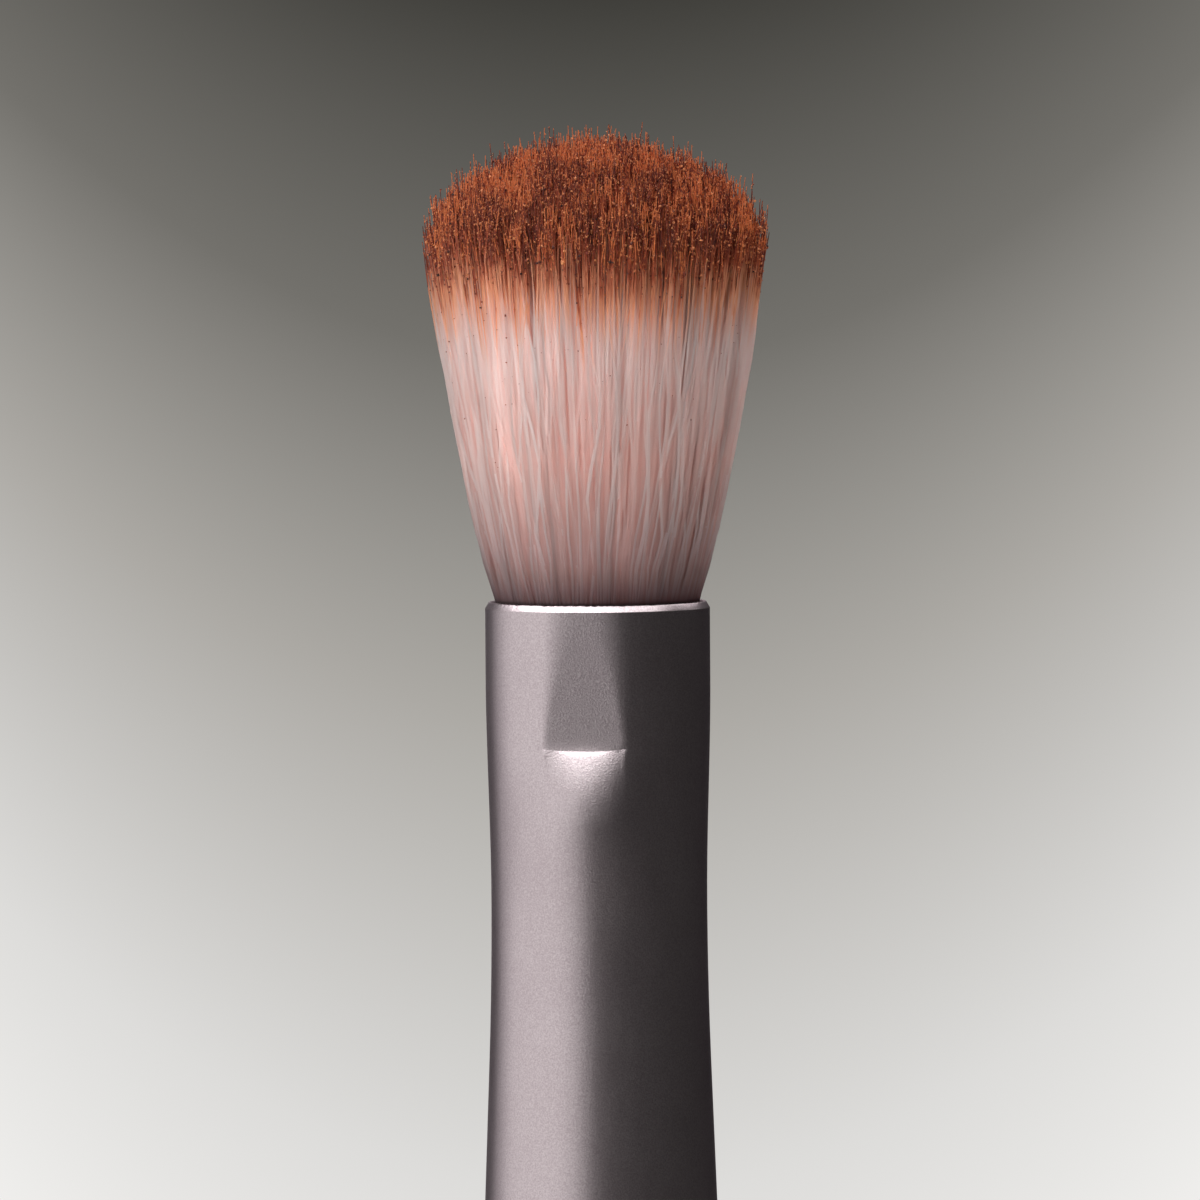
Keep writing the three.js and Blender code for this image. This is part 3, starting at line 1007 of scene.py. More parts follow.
@dataclass
class BaseCap:
    """Turned cap that closes the handle: a dished foot, a round edge and a spigot in the core."""

    top: float = top_of("base_cap")
    height: float = 6.0
    radius: float = 6.65
    foot_round: float = 0.8
    foot_steps: int = 10
    seam_round: float = 0.25
    seam_steps: int = 6
    dish_radius: float = 3.4
    dish_depth: float = 0.4
    dish_round: float = 0.3
    spigot_radius: float = 3.78
    spigot_lead: float = 0.5
    crease_angle: float = 35.0
    sides: int = 160

    def build(self) -> Object:
        """Turns and dresses the cap.

        Returns:
            The finished piece.
        """
        slope_end = self.dish_radius + self.dish_depth
        foot_centre = (self.radius - self.foot_round, self.foot_round)
        seam_centre = (self.radius - self.seam_round, self.height - self.seam_round)
        outline = [
            (0.0, self.dish_depth),
            (self.dish_radius - self.dish_round, self.dish_depth),
            (self.dish_radius, self.dish_depth),
            (slope_end, 0.0),
            (slope_end + self.dish_round, 0.0),
            *arc(foot_centre, self.foot_round, -90, 0, self.foot_steps),
            *arc(seam_centre, self.seam_round, 0, 90, self.seam_steps),
            (self.spigot_radius + self.seam_round, self.height),
            (self.spigot_radius, self.height),
            (self.spigot_radius, self.top - self.spigot_lead),
            (self.spigot_radius - self.spigot_lead, self.top),
            (0.0, self.top),
        ]
        piece = turned("base_cap_turned", outline, self.sides)
        bpy.ops.object.shade_smooth_by_angle(angle=math.radians(self.crease_angle))
        return settle(piece, AnodisedAluminium(Working.TURNED), "base_cap")


@dataclass
class BristleRoots:
    """Packed lower stretch of the bristles inside the ferrule, with the waist that the thread ties."""

    foot: float = bottom_of("bristle_roots")
    rim: float = top_of("ferrule")
    thread_middle: float = (bottom_of("tie_thread") + top_of("tie_thread")) / 2
    radius: float = 3.2
    waist_radius: float = 2.9
    waist_half: float = 0.61
    top_drop: float = 0.5
    crown: float = 0.15
    sides: int = 120
    # What the filament's finish reads here: darkest painted root shade, bare of powder and far from the tips
    readings: tuple[tuple[str, float], ...] = (
        ("height", -1.0), ("tone", 0.3), ("powder", -9.0), ("tip", 9.0), ("cake", 0.0),
    )

    def build(self) -> Object:
        """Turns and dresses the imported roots.

        Returns:
            The finished piece.
        """
        lower = self.thread_middle - self.waist_half
        upper = self.thread_middle + self.waist_half
        ease = (self.radius - self.waist_radius) / 2
        top = self.rim - self.top_drop
        outline = [
            (0.0, self.foot),
            (self.radius, self.foot),
            (self.radius, lower - ease),
            (self.waist_radius, lower + ease),
            (self.waist_radius, upper - ease),
            (self.radius, upper + ease),
            (self.radius, top - self.crown),
            (self.radius - self.crown, top),
            (0.0, top + self.crown),
        ]
        piece = turned("bristle_roots_packed", outline, self.sides)
        for name, value in self.readings:
            values = np.full(len(piece.data.vertices), value, dtype=np.float32)
            piece.data.attributes.new(name, "FLOAT", "POINT").data.foreach_set("value", values)
        return settle(piece, PowderedFilament(), "bristle_roots")


@dataclass
class Pattern:
    """A small mesh that is copied many times: points, corners of its faces and its flat map."""

    points: Array
    corners: Array
    face_sizes: Array
    flat: Array


def pattern_of(piece: Object, flat: Array) -> Pattern:
    """Takes a modelled mesh as a pattern and deletes its object.

    Args:
        piece: The modelled object.
        flat: Place of each corner on a map from 0 to 1.

    Returns:
        The pattern.
    """
    mesh = piece.data
    corners = np.empty(len(mesh.loops), dtype=np.int32)
    mesh.loops.foreach_get("vertex_index", corners)
    sizes = np.empty(len(mesh.polygons), dtype=np.int32)
    mesh.polygons.foreach_get("loop_total", sizes)
    pattern = Pattern(points_of(mesh), corners, sizes, flat)
    bpy.data.objects.remove(piece)
    bpy.data.meshes.remove(mesh)
    return pattern


def copies_of(
    name: str,
    pattern: Pattern,
    places: Array,
    values: dict[str, Array],
    cells: tuple[int, int],
    normals: Array | None = None,
) -> Object:
    """Joins many bent copies of a pattern in one piece.

    Args:
        name: The piece's name.
        pattern: The small mesh.
        places: For each copy, the places of its points in millimetres.
        values: Attributes by name, with a value for each point of each copy.
        cells: Columns and rows of the map, with one cell for each copy.
        normals: For each copy, the direction in which each point is shaded, or None for flat faces.

    Returns:
        The piece, with a map for baking.
    """
    count, size = places.shape[:2]
    corners = (pattern.corners[None, :] + size * np.arange(count)[:, None]).ravel()
    face_sizes = np.tile(pattern.face_sizes, count)
    starts = np.concatenate([[0], np.cumsum(face_sizes)[:-1]])
    mesh = bpy.data.meshes.new(name)
    mesh.vertices.add(count * size)
    mesh.loops.add(len(corners))
    mesh.polygons.add(len(face_sizes))
    mesh.vertices.foreach_set("co", (places * MM).astype(np.float32).ravel())
    mesh.loops.foreach_set("vertex_index", corners.astype(np.int32))
    mesh.polygons.foreach_set("loop_start", starts.astype(np.int32))
    mesh.polygons.foreach_set("use_smooth", np.full(len(face_sizes), normals is not None))
    mesh.update(calc_edges=True)
    for attribute, value in values.items():
        stored = mesh.attributes.new(attribute, "FLOAT", "POINT")
        stored.data.foreach_set("value", value.astype(np.float32).ravel())
    index = np.arange(count)
    corner = np.stack([index % cells[0], index // cells[0]], axis=1)[:, None, :]
    flat = (corner + pattern.flat[None, :, :]) / np.array(cells)
    mesh.uv_layers.new(name="OFBake").data.foreach_set("uv", flat.astype(np.float32).ravel())
    if normals is not None:
        mesh.normals_split_custom_set_from_vertices(normals.reshape(-1, 3))
    piece = bpy.data.objects.new(name, mesh)
    bpy.context.collection.objects.link(piece)
    return piece


def units(angle: Array) -> Array:
    """Unit vectors in the plane at these angles."""
    return np.stack([np.cos(angle), np.sin(angle)], axis=1)


@dataclass
class Layout:
    """Where the filaments stand, which clump pulls each of them, and the heights of their rows."""

    share: Array
    angle: Array
    clump: Array
    flat: Array
    clump_flat: Array
    tall: Array
    height: Array

    @property
    def tip(self) -> Array:
        """Distance of each row from its filament's tip."""
        return self.tall[:, None] - self.height

    @property
    def along(self) -> Array:
        """Each row's share of its filament's length."""
        return np.clip(self.height / self.tall[:, None], 0, 1)


@dataclass
class Strands:
    """All filaments of the tuft: their paths and what differs between them."""

    paths: Array
    thickness: Array
    powder: Array
    tip: Array
    tone: Array
    cake: Array
    body: Array
    share: Array
    angle: Array


class Ring(Enum):
    """Rings of locks, each with its number of locks."""

    CORE = 1
    INNER = 6
    OUTER = 12


@dataclass(frozen=True)
class Wisps:
    """Wavy wisps of the outermost filaments, which cross each other."""

    count: int = 160
    outermost: float = 0.981
    jitter: float = 0.4
    pull: float = 0.7
    pull_spread: Span = (0.6, 1.15)
    gather: Span = (0.02, 0.15)
    loosen: Span = (0.5, 0.8)
    loosen_length: float = 0.25
    wave: float = 0.1
    wave_shape: Span = (2.0, 0.5)
    wave_turns: Span = (1.2, 2.6)
    wave_rise: float = 0.2
    drift: float = 0.3
    lift: float = 0.08
    lift_rise: float = 0.1
    sink: float = 0.6
    shown_at: Span = (0.1, 0.5)
    shown_half: Span = (0.12, 0.3)
    fade: Span = (0.55, 0.9)
    faded: float = 0.25

    def moves(self, angle: Array, along: Array, rng: Chance) -> tuple[Array, Array, Array]:
        """Gathers filaments in the wisps.

        Args:
            angle: Each filament's angle round the axis.
            along: Shares of each filament's length.
            rng: Source of chance.

        Returns:
            For each filament and row, the pull towards its wisp as an angle, the lift off the tuft, and
            the wisp's own sideways wave.
        """
        count = self.count
        middle = (np.arange(count) + rng.uniform(-self.jitter, self.jitter, count)) / count * TURN
        turn = np.remainder(angle[:, None] - middle[None, :] + math.pi, TURN) - math.pi
        which = np.abs(turn).argmin(axis=1)
        apart = turn[np.arange(len(angle)), which]
        loose = rng.uniform(*self.loosen, (len(angle), 1))
        hold = smoothstep(*self.gather, along) * (1 - smoothstep(loose - self.loosen_length, loose, along))
        pull = -self.pull * rng.uniform(*self.pull_spread, len(angle))[:, None] * apart[:, None] * hold
        waves = rng.uniform(*self.wave_turns, count)[which][:, None]
        start = rng.uniform(0, TURN, count)[which][:, None]
        size = self.wave * rng.gamma(*self.wave_shape, count)[which][:, None]
        drift = rng.normal(0, self.drift, count)[which][:, None]
        sway = size * np.sin(TURN * waves * along + start) * smoothstep(0, self.wave_rise, along)
        shown_at = rng.uniform(*self.shown_at, count)[which][:, None]
        half = rng.uniform(*self.shown_half, count)[which][:, None]
        shown = smoothstep(0, 1, 2 - 2 * np.abs(along - shown_at) / half)
        lift = self.lift * ((1 + self.sink) * shown - self.sink) * smoothstep(0, self.lift_rise, along)
        fade = 1 - smoothstep(*self.fade, along)
        return pull, lift * fade, (sway + drift * along) * (self.faded + (1 - self.faded) * fade)


@dataclass
class Tuft:
    """Domed tuft of tapered filaments, in locks, with eyeshadow powder on the tips."""

    rim: float = top_of("ferrule")
    bore: float = 3.6
    length: float = 17.0
    shoulder: float = 13.3
    radius: float = 6.0
    belly: float = 0.45
    narrowest: float = -0.1
    dome_power: float = 1.85
    count: int = 9000
    jitter: float = 0.35
    jitter_centre: float = 0.05
    root_depth: float = 1.0
    root_rows: int = 7
    tip_rows: tuple[float, ...] = (5.6, 4.5, 3.6, 2.9, 2.3, 1.7, 1.15, 0.7, 0.3, 0.0)
    filament_sides: int = 3
    filament_radius: float = 0.045
    gauge_spread: Span = (0.85, 1.12)
    tip_radius: float = 0.009
    taper_length: float = 5.0
    clump_count: int = 1400
    clump_pull: float = 0.72
    clump_pull_spread: Span = (0.4, 1.0)
    clump_from: float = 0.6
    clump_length_spread: float = 0.12
    length_spread: float = 0.18
    trim: float = 0.8
    spike_share: float = 0.12
    spike_length: float = 0.65
    clump_lean: float = 0.12
    lean: float = 0.15
    wave: float = 0.055
    wave_shape: Span = (2.0, 0.5)
    wave_turns: Span = (0.8, 1.7)
    wave_rise: Span = (0.05, 0.4)
    outer_wave: float = 0.8
    outer_wave_from: float = 0.9
    tip_curl: float = 0.13
    curl_length: float = 1.6
    stray: float = 0.08
    stray_share: float = 0.35
    wisps: Wisps = Wisps()
    # Inner filaments get a deeper rose than the outer ones: painted shade and painted pink soaked light in
    # the gaps between filaments
    inner_painted_shade_tone: float = 0.12
    outer_unshaded_tone: float = 0.3
    outer_unshaded_rise: Span = (0.75, 0.93)
    tone_spread: float = 0.06
    root_tone: float = 0.12
    root_tone_fall: Span = (0.1, 0.45)
    pale_share: float = 0.55
    pale_tone: float = 0.45
    pale_loss: float = 0.85
    pale_fall: Span = (0.3, 0.65)
    powder_reach: float = 1.88
    powder_clump_spread: float = 0.28
    powder_spread: float = 0.14
    powder_run: float = 0.34
    powder_run_most: float = 0.8
    powder_layer: float = 0.006
    layer_rise: Span = (-0.3, 0.6)
    cake_clump: float = 0.8
    cake_spread: float = 0.25
    body_share: float = 0.95
    wisp_body_share: float = 0.85
    body_fall: Span = (0.8, 2.2)
    under_tilt: float = 0.15
    bend_length: float = 10.0
    map_half: float = 0.4
    map_end: float = 0.3
    map_tilt: float = 0.01
    map_edge: float = 0.02

    def spread(self, height: Array) -> Array:
        """Radius of the tuft.

        Args:
            height: Heights above the rim.

        Returns:
            The radius at each.
        """
        share = np.clip(height / self.shoulder, self.narrowest, 1)
        rise = (1 + self.belly) * share - self.belly * share**2
        return self.bore + (self.radius - self.bore) * rise

    def dome(self, share: Array) -> Array:
        """Height of the dome above the rim.

        Args:
            share: Shares of the tuft's radius.

        Returns:
            The height at each.
        """
        rise = (1 - np.clip(share, 0, 1) ** self.dome_power) ** (1 / self.dome_power)
        return self.shoulder + (self.length - self.shoulder) * rise

    def sunflower(self, count: int, rng: Chance) -> tuple[Array, Array]:
        """Spreads points evenly over the tuft's section, as seeds in a sunflower.

        Args:
            count: Number of points.
            rng: Source of small irregularities.

        Returns:
            Each point's share of the radius and its angle.
        """
        index = np.arange(count)
        golden = math.pi * (3 - math.sqrt(5))
        jitter = self.jitter * (1 / math.sqrt(count))
        share = np.sqrt((index + 0.5) / count) + rng.normal(0, jitter, count)
        share = np.clip(np.abs(share), 0, 1)
        angle = index * golden + rng.normal(0, jitter, count) / np.maximum(share, self.jitter_centre)
        return share, np.mod(angle, TURN)

    def layout(self, rng: Chance) -> Layout:
        """Spreads the filaments over the tuft, in clumps, and trims them to the dome.

        Args:
            rng: Source of chance.

        Returns:
            The layout.
        """
        share, angle = self.sunflower(self.count, rng)
        clump_share, clump_angle = self.sunflower(self.clump_count, rng)
        flat = share[:, None] * units(angle)
        clump_flat = clump_share[:, None] * units(clump_angle)
        apart = ((flat[:, None, :] - clump_flat[None, :, :]) ** 2).sum(axis=2)
        clump = apart.argmin(axis=1)
        tall = self.dome(share)
        tall += rng.normal(0, self.clump_length_spread, self.clump_count)[clump]
        tall += rng.normal(-self.trim, self.length_spread, self.count)
        spiky = rng.random(self.count) < self.spike_share
        tall += np.where(spiky, self.spike_length * rng.random(self.count), 0)
        upper = tall[:, None] - np.array(self.tip_rows)[None, :]
        climb = np.linspace(0, 1, self.root_rows, endpoint=False)[None, :]
        lower = -self.root_depth + climb * (upper[:, :1] + self.root_depth)
        height = np.concatenate([lower, upper], axis=1)
        return Layout(share, angle, clump, flat, clump_flat[clump], tall, height)

    def paths(self, layout: Layout, rng: Chance) -> Array:
        """Leans, waves and curls every filament, and keeps it in the tuft's outline.

        Args:
            layout: Where the filaments stand.
            rng: Source of chance.

        Returns:
            The places of each filament's rows.
        """
        height, along = layout.height, layout.along
        pull = rng.uniform(*self.clump_pull_spread, self.count)[:, None] * self.clump_pull
        pull = (pull * smoothstep(self.clump_from, 1.0, along))[:, :, None]
        centre = layout.flat[:, None, :] * (1 - pull) + layout.clump_flat[:, None, :] * pull
        paths = np.zeros((self.count, height.shape[1], 3))
        paths[:, :, :2] = centre * self.spread(height)[:, :, None]
        paths[:, :, 2] = height
        lean = rng.normal(0, self.clump_lean, (self.clump_count, 2))[layout.clump]
        lean += rng.normal(0, self.lean, (self.count, 2))
        paths[:, :, :2] += lean[:, None, :] * (along**2)[:, :, None]
        swing = rng.uniform(*self.wave_turns, (self.count, 1)) * TURN
        start = rng.uniform(0, TURN, (self.count, 1))
        amount = self.wave * rng.gamma(*self.wave_shape, (self.count, 1)) * smoothstep(*self.wave_rise, along)
        outer = smoothstep(self.outer_wave_from, 1.0, layout.share)
        amount = amount * (1 + self.outer_wave * outer)[:, None]
        turn = rng.uniform(0, TURN, (self.count, 1))
        sway = amount * np.sin(swing * along + start)
        paths[:, :, 0] += sway * np.cos(turn)
        paths[:, :, 1] += sway * np.sin(turn)
        curl = rng.normal(0, self.tip_curl, (self.count, 2))
        curled = (1 - smoothstep(0, self.curl_length, layout.tip)) ** 2
        paths[:, :, :2] += curl[:, None, :] * curled[:, :, None]
        wisp = (layout.share > self.wisps.outermost)[:, None]
        away = units(layout.angle)[:, None, :]
        side = units(layout.angle + math.pi / 2)[:, None, :]
        pulled, lifted, waved = self.wisps.moves(layout.angle, along, rng)
        sideways = np.where(wisp, pulled * self.spread(height) + waved, 0)[:, :, None]
        outward = np.where(wisp, lifted, 0)[:, :, None]
        paths[:, :, :2] += sideways * side + outward * away
        out = np.linalg.norm(paths[:, :, :2], axis=2)
        limit = self.spread(height) + self.stray
        kept = np.where(out > limit, limit + self.stray_share * (out - limit), out)
        paths[:, :, :2] *= (kept / np.maximum(out, self.filament_radius))[:, :, None]
        return paths

    def strands(self) -> Strands:
        """Lays out every filament with its thickness, its colours and its powder.

        Returns:
            The filaments.
        """
        rng = np.random.default_rng(SEED)
        layout = self.layout(rng)
        share, clump, tip, along = layout.share, layout.clump, layout.tip, layout.along
        paths = self.paths(layout, rng)
        gauge = rng.uniform(*self.gauge_spread, (self.count, 1))
        taper = smoothstep(0, self.taper_length, tip)
        thickness = gauge * (self.tip_radius + (self.filament_radius - self.tip_radius) * taper)
        reach = self.powder_reach + rng.normal(0, self.powder_clump_spread, self.clump_count)[clump]
        run = np.minimum(rng.exponential(self.powder_run, self.clump_count), self.powder_run_most)
        reach += run[clump]
        reach += rng.normal(0, self.powder_spread, self.count)
        powder = reach[:, None] - (self.dome(share) - self.trim)[:, None] + layout.height
        thickness += self.powder_layer * smoothstep(*self.layer_rise, powder)
        # Painted shade: filaments deeper in the tuft get the deeper rose tone
        outer = smoothstep(*self.outer_unshaded_rise, share)
        plain = self.inner_painted_shade_tone + self.outer_unshaded_tone * outer + rng.normal(0, self.tone_spread, self.count)
        low = self.root_tone * (1 - smoothstep(*self.root_tone_fall, along))
        wisp = share > self.wisps.outermost
        picked = wisp & (rng.random(self.count) < self.pale_share)
        paler = self.pale_tone * picked[:, None] * (1 - self.pale_loss * smoothstep(*self.pale_fall, along))
        tone = np.clip(plain[:, None] + low + paler, 0, 1)
        cake = self.cake_clump * rng.normal(0, 1, self.clump_count)[clump]
        cake += self.cake_spread * rng.normal(0, 1, self.count)
        bare = 1 - smoothstep(*self.body_fall, powder)
        body = np.where(wisp, self.wisp_body_share, self.body_share)[:, None] * bare
        return Strands(paths, thickness, powder, tip, tone, cake, body, share, layout.angle)

    def filament_pattern(self, rows: int) -> Pattern:
        """Models one straight filament, a slim tube closed at both ends.

        Args:
            rows: Rings of points along it.

        Returns:
            The pattern, with each ring one unit above the last.
        """
        bpy.ops.object.select_all(action="DESELECT")
        bpy.ops.mesh.primitive_circle_add(vertices=self.filament_sides, radius=1, fill_type="NGON")
        piece = bpy.context.object
        bpy.ops.object.mode_set(mode="EDIT")
        for _ in range(rows - 1):
            bpy.ops.mesh.extrude_region_move(TRANSFORM_OT_translate={"value": (0, 0, 1)})
        bpy.ops.mesh.select_all(action="DESELECT")
        bpy.ops.mesh.select_non_manifold()
        bpy.ops.mesh.edge_face_add()
        bpy.ops.mesh.select_all(action="SELECT")
        bpy.ops.mesh.normals_make_consistent(inside=False)
        bpy.ops.object.mode_set(mode="OBJECT")
        mesh = piece.data
        widest = 2 * TURN / self.filament_sides
        flat = np.zeros((len(mesh.loops), 2))
        for face in mesh.polygons:
            middle = math.atan2(face.center.y, face.center.x)
            for corner in face.loop_indices:
                place = mesh.vertices[mesh.loops[corner].vertex_index].co
                along = place.z / (rows - 1)
                if face.loop_total == self.filament_sides:
                    flat[corner] = (0.5 + self.map_end * place.x, along + self.map_tilt * place.y)
                else:
                    turn = math.remainder(math.atan2(place.y, place.x) - middle, TURN)
                    flat[corner] = (0.5 + self.map_half * (middle + turn) / widest, along)
        flat[:, 1] = self.map_edge + (1 - 2 * self.map_edge) * flat[:, 1]
        return pattern_of(piece, flat)

    def lock_of(self, strands: Strands) -> list[tuple[str, str, Array]]:
        """Sorts the filaments into locks.

        Args:
            strands: The filaments.

        Returns:
            For each lock its piece's name, its CAD node and which filaments it holds.
        """
        total = sum(ring.value for ring in Ring)
        locks = []
        within = 0
        for ring in Ring:
            low = math.sqrt(within / total)
            within += ring.value
            high = math.sqrt(within / total) if within < total else math.inf
            in_ring = (strands.share >= low) & (strands.share < high)
            sector = np.round(strands.angle / TURN * ring.value).astype(int) % ring.value
            for index in range(ring.value):
                ending = ring.name.lower() + (f"_{index + 1}" if ring.value > 1 else "")
                held = in_ring & (sector == index)
                locks.append((f"bristles_{ending}", f"bristle_lock_{ending}", held))
        return locks

    def bend(self, piece: Object) -> None:
        """Bakes the piece's transform into its mesh."""
        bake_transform(piece)

    def shading(self, strands: Strands, held: Array, pattern: Pattern, row: Array) -> Array:
        """Turns the filaments' shading towards the way the whole tuft faces, as light soaks through them.

        Args:
            strands: The filaments.
            held: Which filaments are wanted.
            pattern: The straight filament.
            row: Ring of each of its points.

        Returns:
            For each filament, a direction for each point.
        """
        round_way = np.zeros((1, len(row), 3))
        round_way[0, :, :2] = pattern.points[:, :2]
        outward = strands.paths[held][:, row, :].copy()
        outward[:, :, 2] = 0
        outward /= np.maximum(np.linalg.norm(outward, axis=2, keepdims=True), self.filament_radius)
        outward[:, :, 2] = -self.under_tilt
        share = strands.body[held][:, row, None]
        mixed = round_way * (1 - share) + outward * share
        return mixed / np.linalg.norm(mixed, axis=2, keepdims=True)

    def build_locks(self, strands: Strands) -> list[Object]:
        """Copies the filament along every path, one piece for each lock.

        Args:
            strands: The filaments.

        Returns:
            The finished pieces.
        """
        pattern = self.filament_pattern(strands.paths.shape[1])
        row = np.round(pattern.points[:, 2]).astype(int)
        pieces = []
        for name, node, held in self.lock_of(strands):
            places = strands.paths[held][:, row, :].copy()
            places[:, :, :2] += strands.thickness[held][:, row, None] * pattern.points[None, :, :2]
            values = {
                "height": places[:, :, 2].copy(),
                "powder": strands.powder[held][:, row],
                "tip": strands.tip[held][:, row],
                "tone": strands.tone[held][:, row],
                "cake": np.repeat(strands.cake[held][:, None], len(row), axis=1),
            }
            normals = self.shading(strands, held, pattern, row)
            places[:, :, 2] += self.rim
            piece = copies_of(name, pattern, places, values, (int(held.sum()), 1), normals)
            dress(piece, PowderedFilament())
            self.bend(piece)
            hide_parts(node)
            pieces.append(piece)
        return pieces

    def build(self) -> list[Object]:
        """Builds the locks and the powder.

        Returns:
            The finished pieces.
        """
        strands = self.strands()
        return [*self.build_locks(strands), *Powder(self, strands).build()]


@dataclass
class Powder:
    """Crumbs of eyeshadow that cling to the tips, and a few that fell on the bare filaments."""

    tuft: Tuft
    strands: Strands
    per_filament: float = 7.5
    depth: float = 2.7
    depth_shape: Span = (1.0, 1.7)
    crumb_sides: int = 4
    crumb_radius: float = 0.034
    crumb_spread: float = 0.33
    crumb_stretch: Span = (0.65, 1.3)
    stand_off: float = 0.3
    tip_crumb: float = 0.5
    clear_stretch: float = 0.6
    tip_stretch: float = 0.45
    tip_tone: float = 0.9
    crumb_painted_shade_fall: float = 0.7
    tone_spread: float = 0.36
    fallen_count: int = 240
    fallen_low: float = 4.0
    fallen_high: float = 10.5
    fallen_shape: Span = (2.2, 1.0)
    fallen_out: Span = (0.985, 1.01)
    fallen_radius: float = 0.022
    fallen_spread: float = 0.35
    fallen_tone: Span = (0.2, 0.6)
    piece_count: int = 4
    map_triangle: tuple[Span, ...] = ((0.2, 0.2), (0.8, 0.2), (0.5, 0.8))

    def crumb_pattern(self) -> Pattern:
        """Models one crumb of powder, a four-sided bead with a point above and below.

        Returns:
            The pattern, about one unit in radius.
        """
        bpy.ops.object.select_all(action="DESELECT")
        bpy.ops.mesh.primitive_cone_add(
            vertices=self.crumb_sides, radius1=1, radius2=0, depth=1, location=(0, 0, 0.5)
        )
        piece = bpy.context.object
        bpy.ops.object.transform_apply(location=True)
        bpy.ops.object.mode_set(mode="EDIT")
        bpy.ops.mesh.select_all(action="DESELECT")
        bpy.ops.object.mode_set(mode="OBJECT")
        for face in piece.data.polygons:
            face.select = face.loop_total == self.crumb_sides
        bpy.ops.object.mode_set(mode="EDIT")
        bpy.ops.mesh.poke(offset=1.0)
        bpy.ops.mesh.select_all(action="SELECT")
        bpy.ops.mesh.normals_make_consistent(inside=False)
        bpy.ops.object.mode_set(mode="OBJECT")
        flat = np.tile(np.array(self.map_triangle), (len(piece.data.polygons), 1))
        return pattern_of(piece, flat)

    def clinging(self, rng: Chance) -> tuple[Array, Array, Array]:
        """Places the crumbs on the tips.

        Args:
            rng: Source of chance.

        Returns:
            Each crumb's place, radius and tone.
        """
        strands = self.strands
        count = int(self.per_filament * self.tuft.count)
        which = rng.integers(0, self.tuft.count, count)
        back = self.depth * rng.beta(*self.depth_shape, count)
        kept = back < strands.powder[which, -1] - self.clear_stretch
        which, back = which[kept], back[kept]
        count = len(which)
        tip = strands.tip[which]
        upper = (tip > back[:, None]).sum(axis=1) - 1
        upper = np.clip(upper, 0, tip.shape[1] - 2)
        pick = np.arange(count)
        near, far = tip[pick, upper], tip[pick, upper + 1]
        share = ((near - back) / (near - far))[:, None]
        path = strands.paths[which]
        place = path[pick, upper] * (1 - share) + path[pick, upper + 1] * share
        radius = self.crumb_radius * np.exp(rng.normal(0, self.crumb_spread, count))
        radius *= self.tip_crumb + (1 - self.tip_crumb) * smoothstep(0, self.tip_stretch, back)
        turn = rng.uniform(0, TURN, count)
        reach = strands.thickness[which][pick, upper] + self.stand_off * radius
        place[:, :2] += reach[:, None] * units(turn)
        # Crumbs darken with depth below the tip as painted shade, with a random spread of their own
        tone = self.tip_tone - self.crumb_painted_shade_fall * back / self.depth + rng.normal(0, self.tone_spread, count)
        return place, radius, np.clip(tone, 0, 1)

    def fallen(self, rng: Chance) -> tuple[Array, Array, Array]:
        """Places the crumbs that fell on the bare filaments.

        Args:
            rng: Source of chance.

        Returns:
            Each crumb's place, radius and tone.
        """
        count = self.fallen_count
        rise = (self.fallen_high - self.fallen_low) * rng.beta(*self.fallen_shape, count)
        height = self.fallen_low + rise
        angle = rng.uniform(0, TURN, count)
        out = self.tuft.spread(height) * rng.uniform(*self.fallen_out, count)
        place = np.concatenate([out[:, None] * units(angle), height[:, None]], axis=1)
        radius = self.fallen_radius * np.exp(rng.normal(0, self.fallen_spread, count))
        return place, radius, rng.uniform(*self.fallen_tone, count)

    def build(self) -> list[Object]:
        """Copies the crumb to every place.

        Returns:
            The finished pieces.
        """
        rng = np.random.default_rng(SEED + 1)
        pattern = self.crumb_pattern()
        parts = [self.clinging(rng), self.fallen(rng)]
        place, radius, tone = (np.concatenate(columns) for columns in zip(*parts))
        turns = rng.normal(size=(len(place), 4))
        turns /= np.linalg.norm(turns, axis=1)[:, None]
        stretch = rng.uniform(*self.crumb_stretch, (len(place), 1, 3))
        shaped = pattern.points[None, :, :] * stretch * radius[:, None, None]
        axis, real = turns[:, None, 1:], turns[:, None, :1]
        swung = np.cross(axis, shaped)
        shaped = shaped + 2 * (real * swung + np.cross(axis, swung))
        places = place[:, None, :] + shaped
        places[:, :, 2] += self.tuft.rim
        pieces = []
        for index in range(self.piece_count):
            held = np.arange(len(place)) % self.piece_count == index
            count = int(held.sum())
            columns = math.ceil(math.sqrt(count))
            values = {"tone": np.repeat(tone[held][:, None], len(pattern.points), axis=1)}
            name = f"eyeshadow_crumbs_{index + 1}"
            cells = (columns, math.ceil(count / columns))
            piece = copies_of(name, pattern, places[held], values, cells)
            dress(piece, EyeshadowPowder())
            self.tuft.bend(piece)
            pieces.append(piece)
        return pieces


@dataclass
class Inside:
    """The hidden pieces, which keep their CAD shapes."""

    core: Finish = MOULDED_PLASTIC
    glue: Finish = HARDENED_EPOXY
    thread: Finish = COTTON_THREAD

    def build(self) -> list[Object]:
        """Gives the hidden pieces their finishes.

        Returns:
            The dressed pieces.
        """
        finishes = {
            "handle_core": self.core,
            "glue_ring_lower": self.glue,
            "glue_ring_upper": self.glue,
            "root_plug": self.glue,
            "tie_thread": self.thread,
        }
        for node, finish in finishes.items():
            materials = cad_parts[node].data.materials
            materials.clear()
            materials.append(finish.material())
        return [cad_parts[node] for node in finishes]


def direction(azimuth: float, elevation: float) -> Vector:
    """Direction from the brush to a place around it.

    Args:
        azimuth: Degrees round the brush from its front, to the right.
        elevation: Degrees above the floor.

    Returns:
        The direction, one unit long.
    """
    turn, rise = math.radians(azimuth), math.radians(elevation)
    return Vector((math.sin(turn) * math.cos(rise), -math.cos(turn) * math.cos(rise), math.sin(rise)))


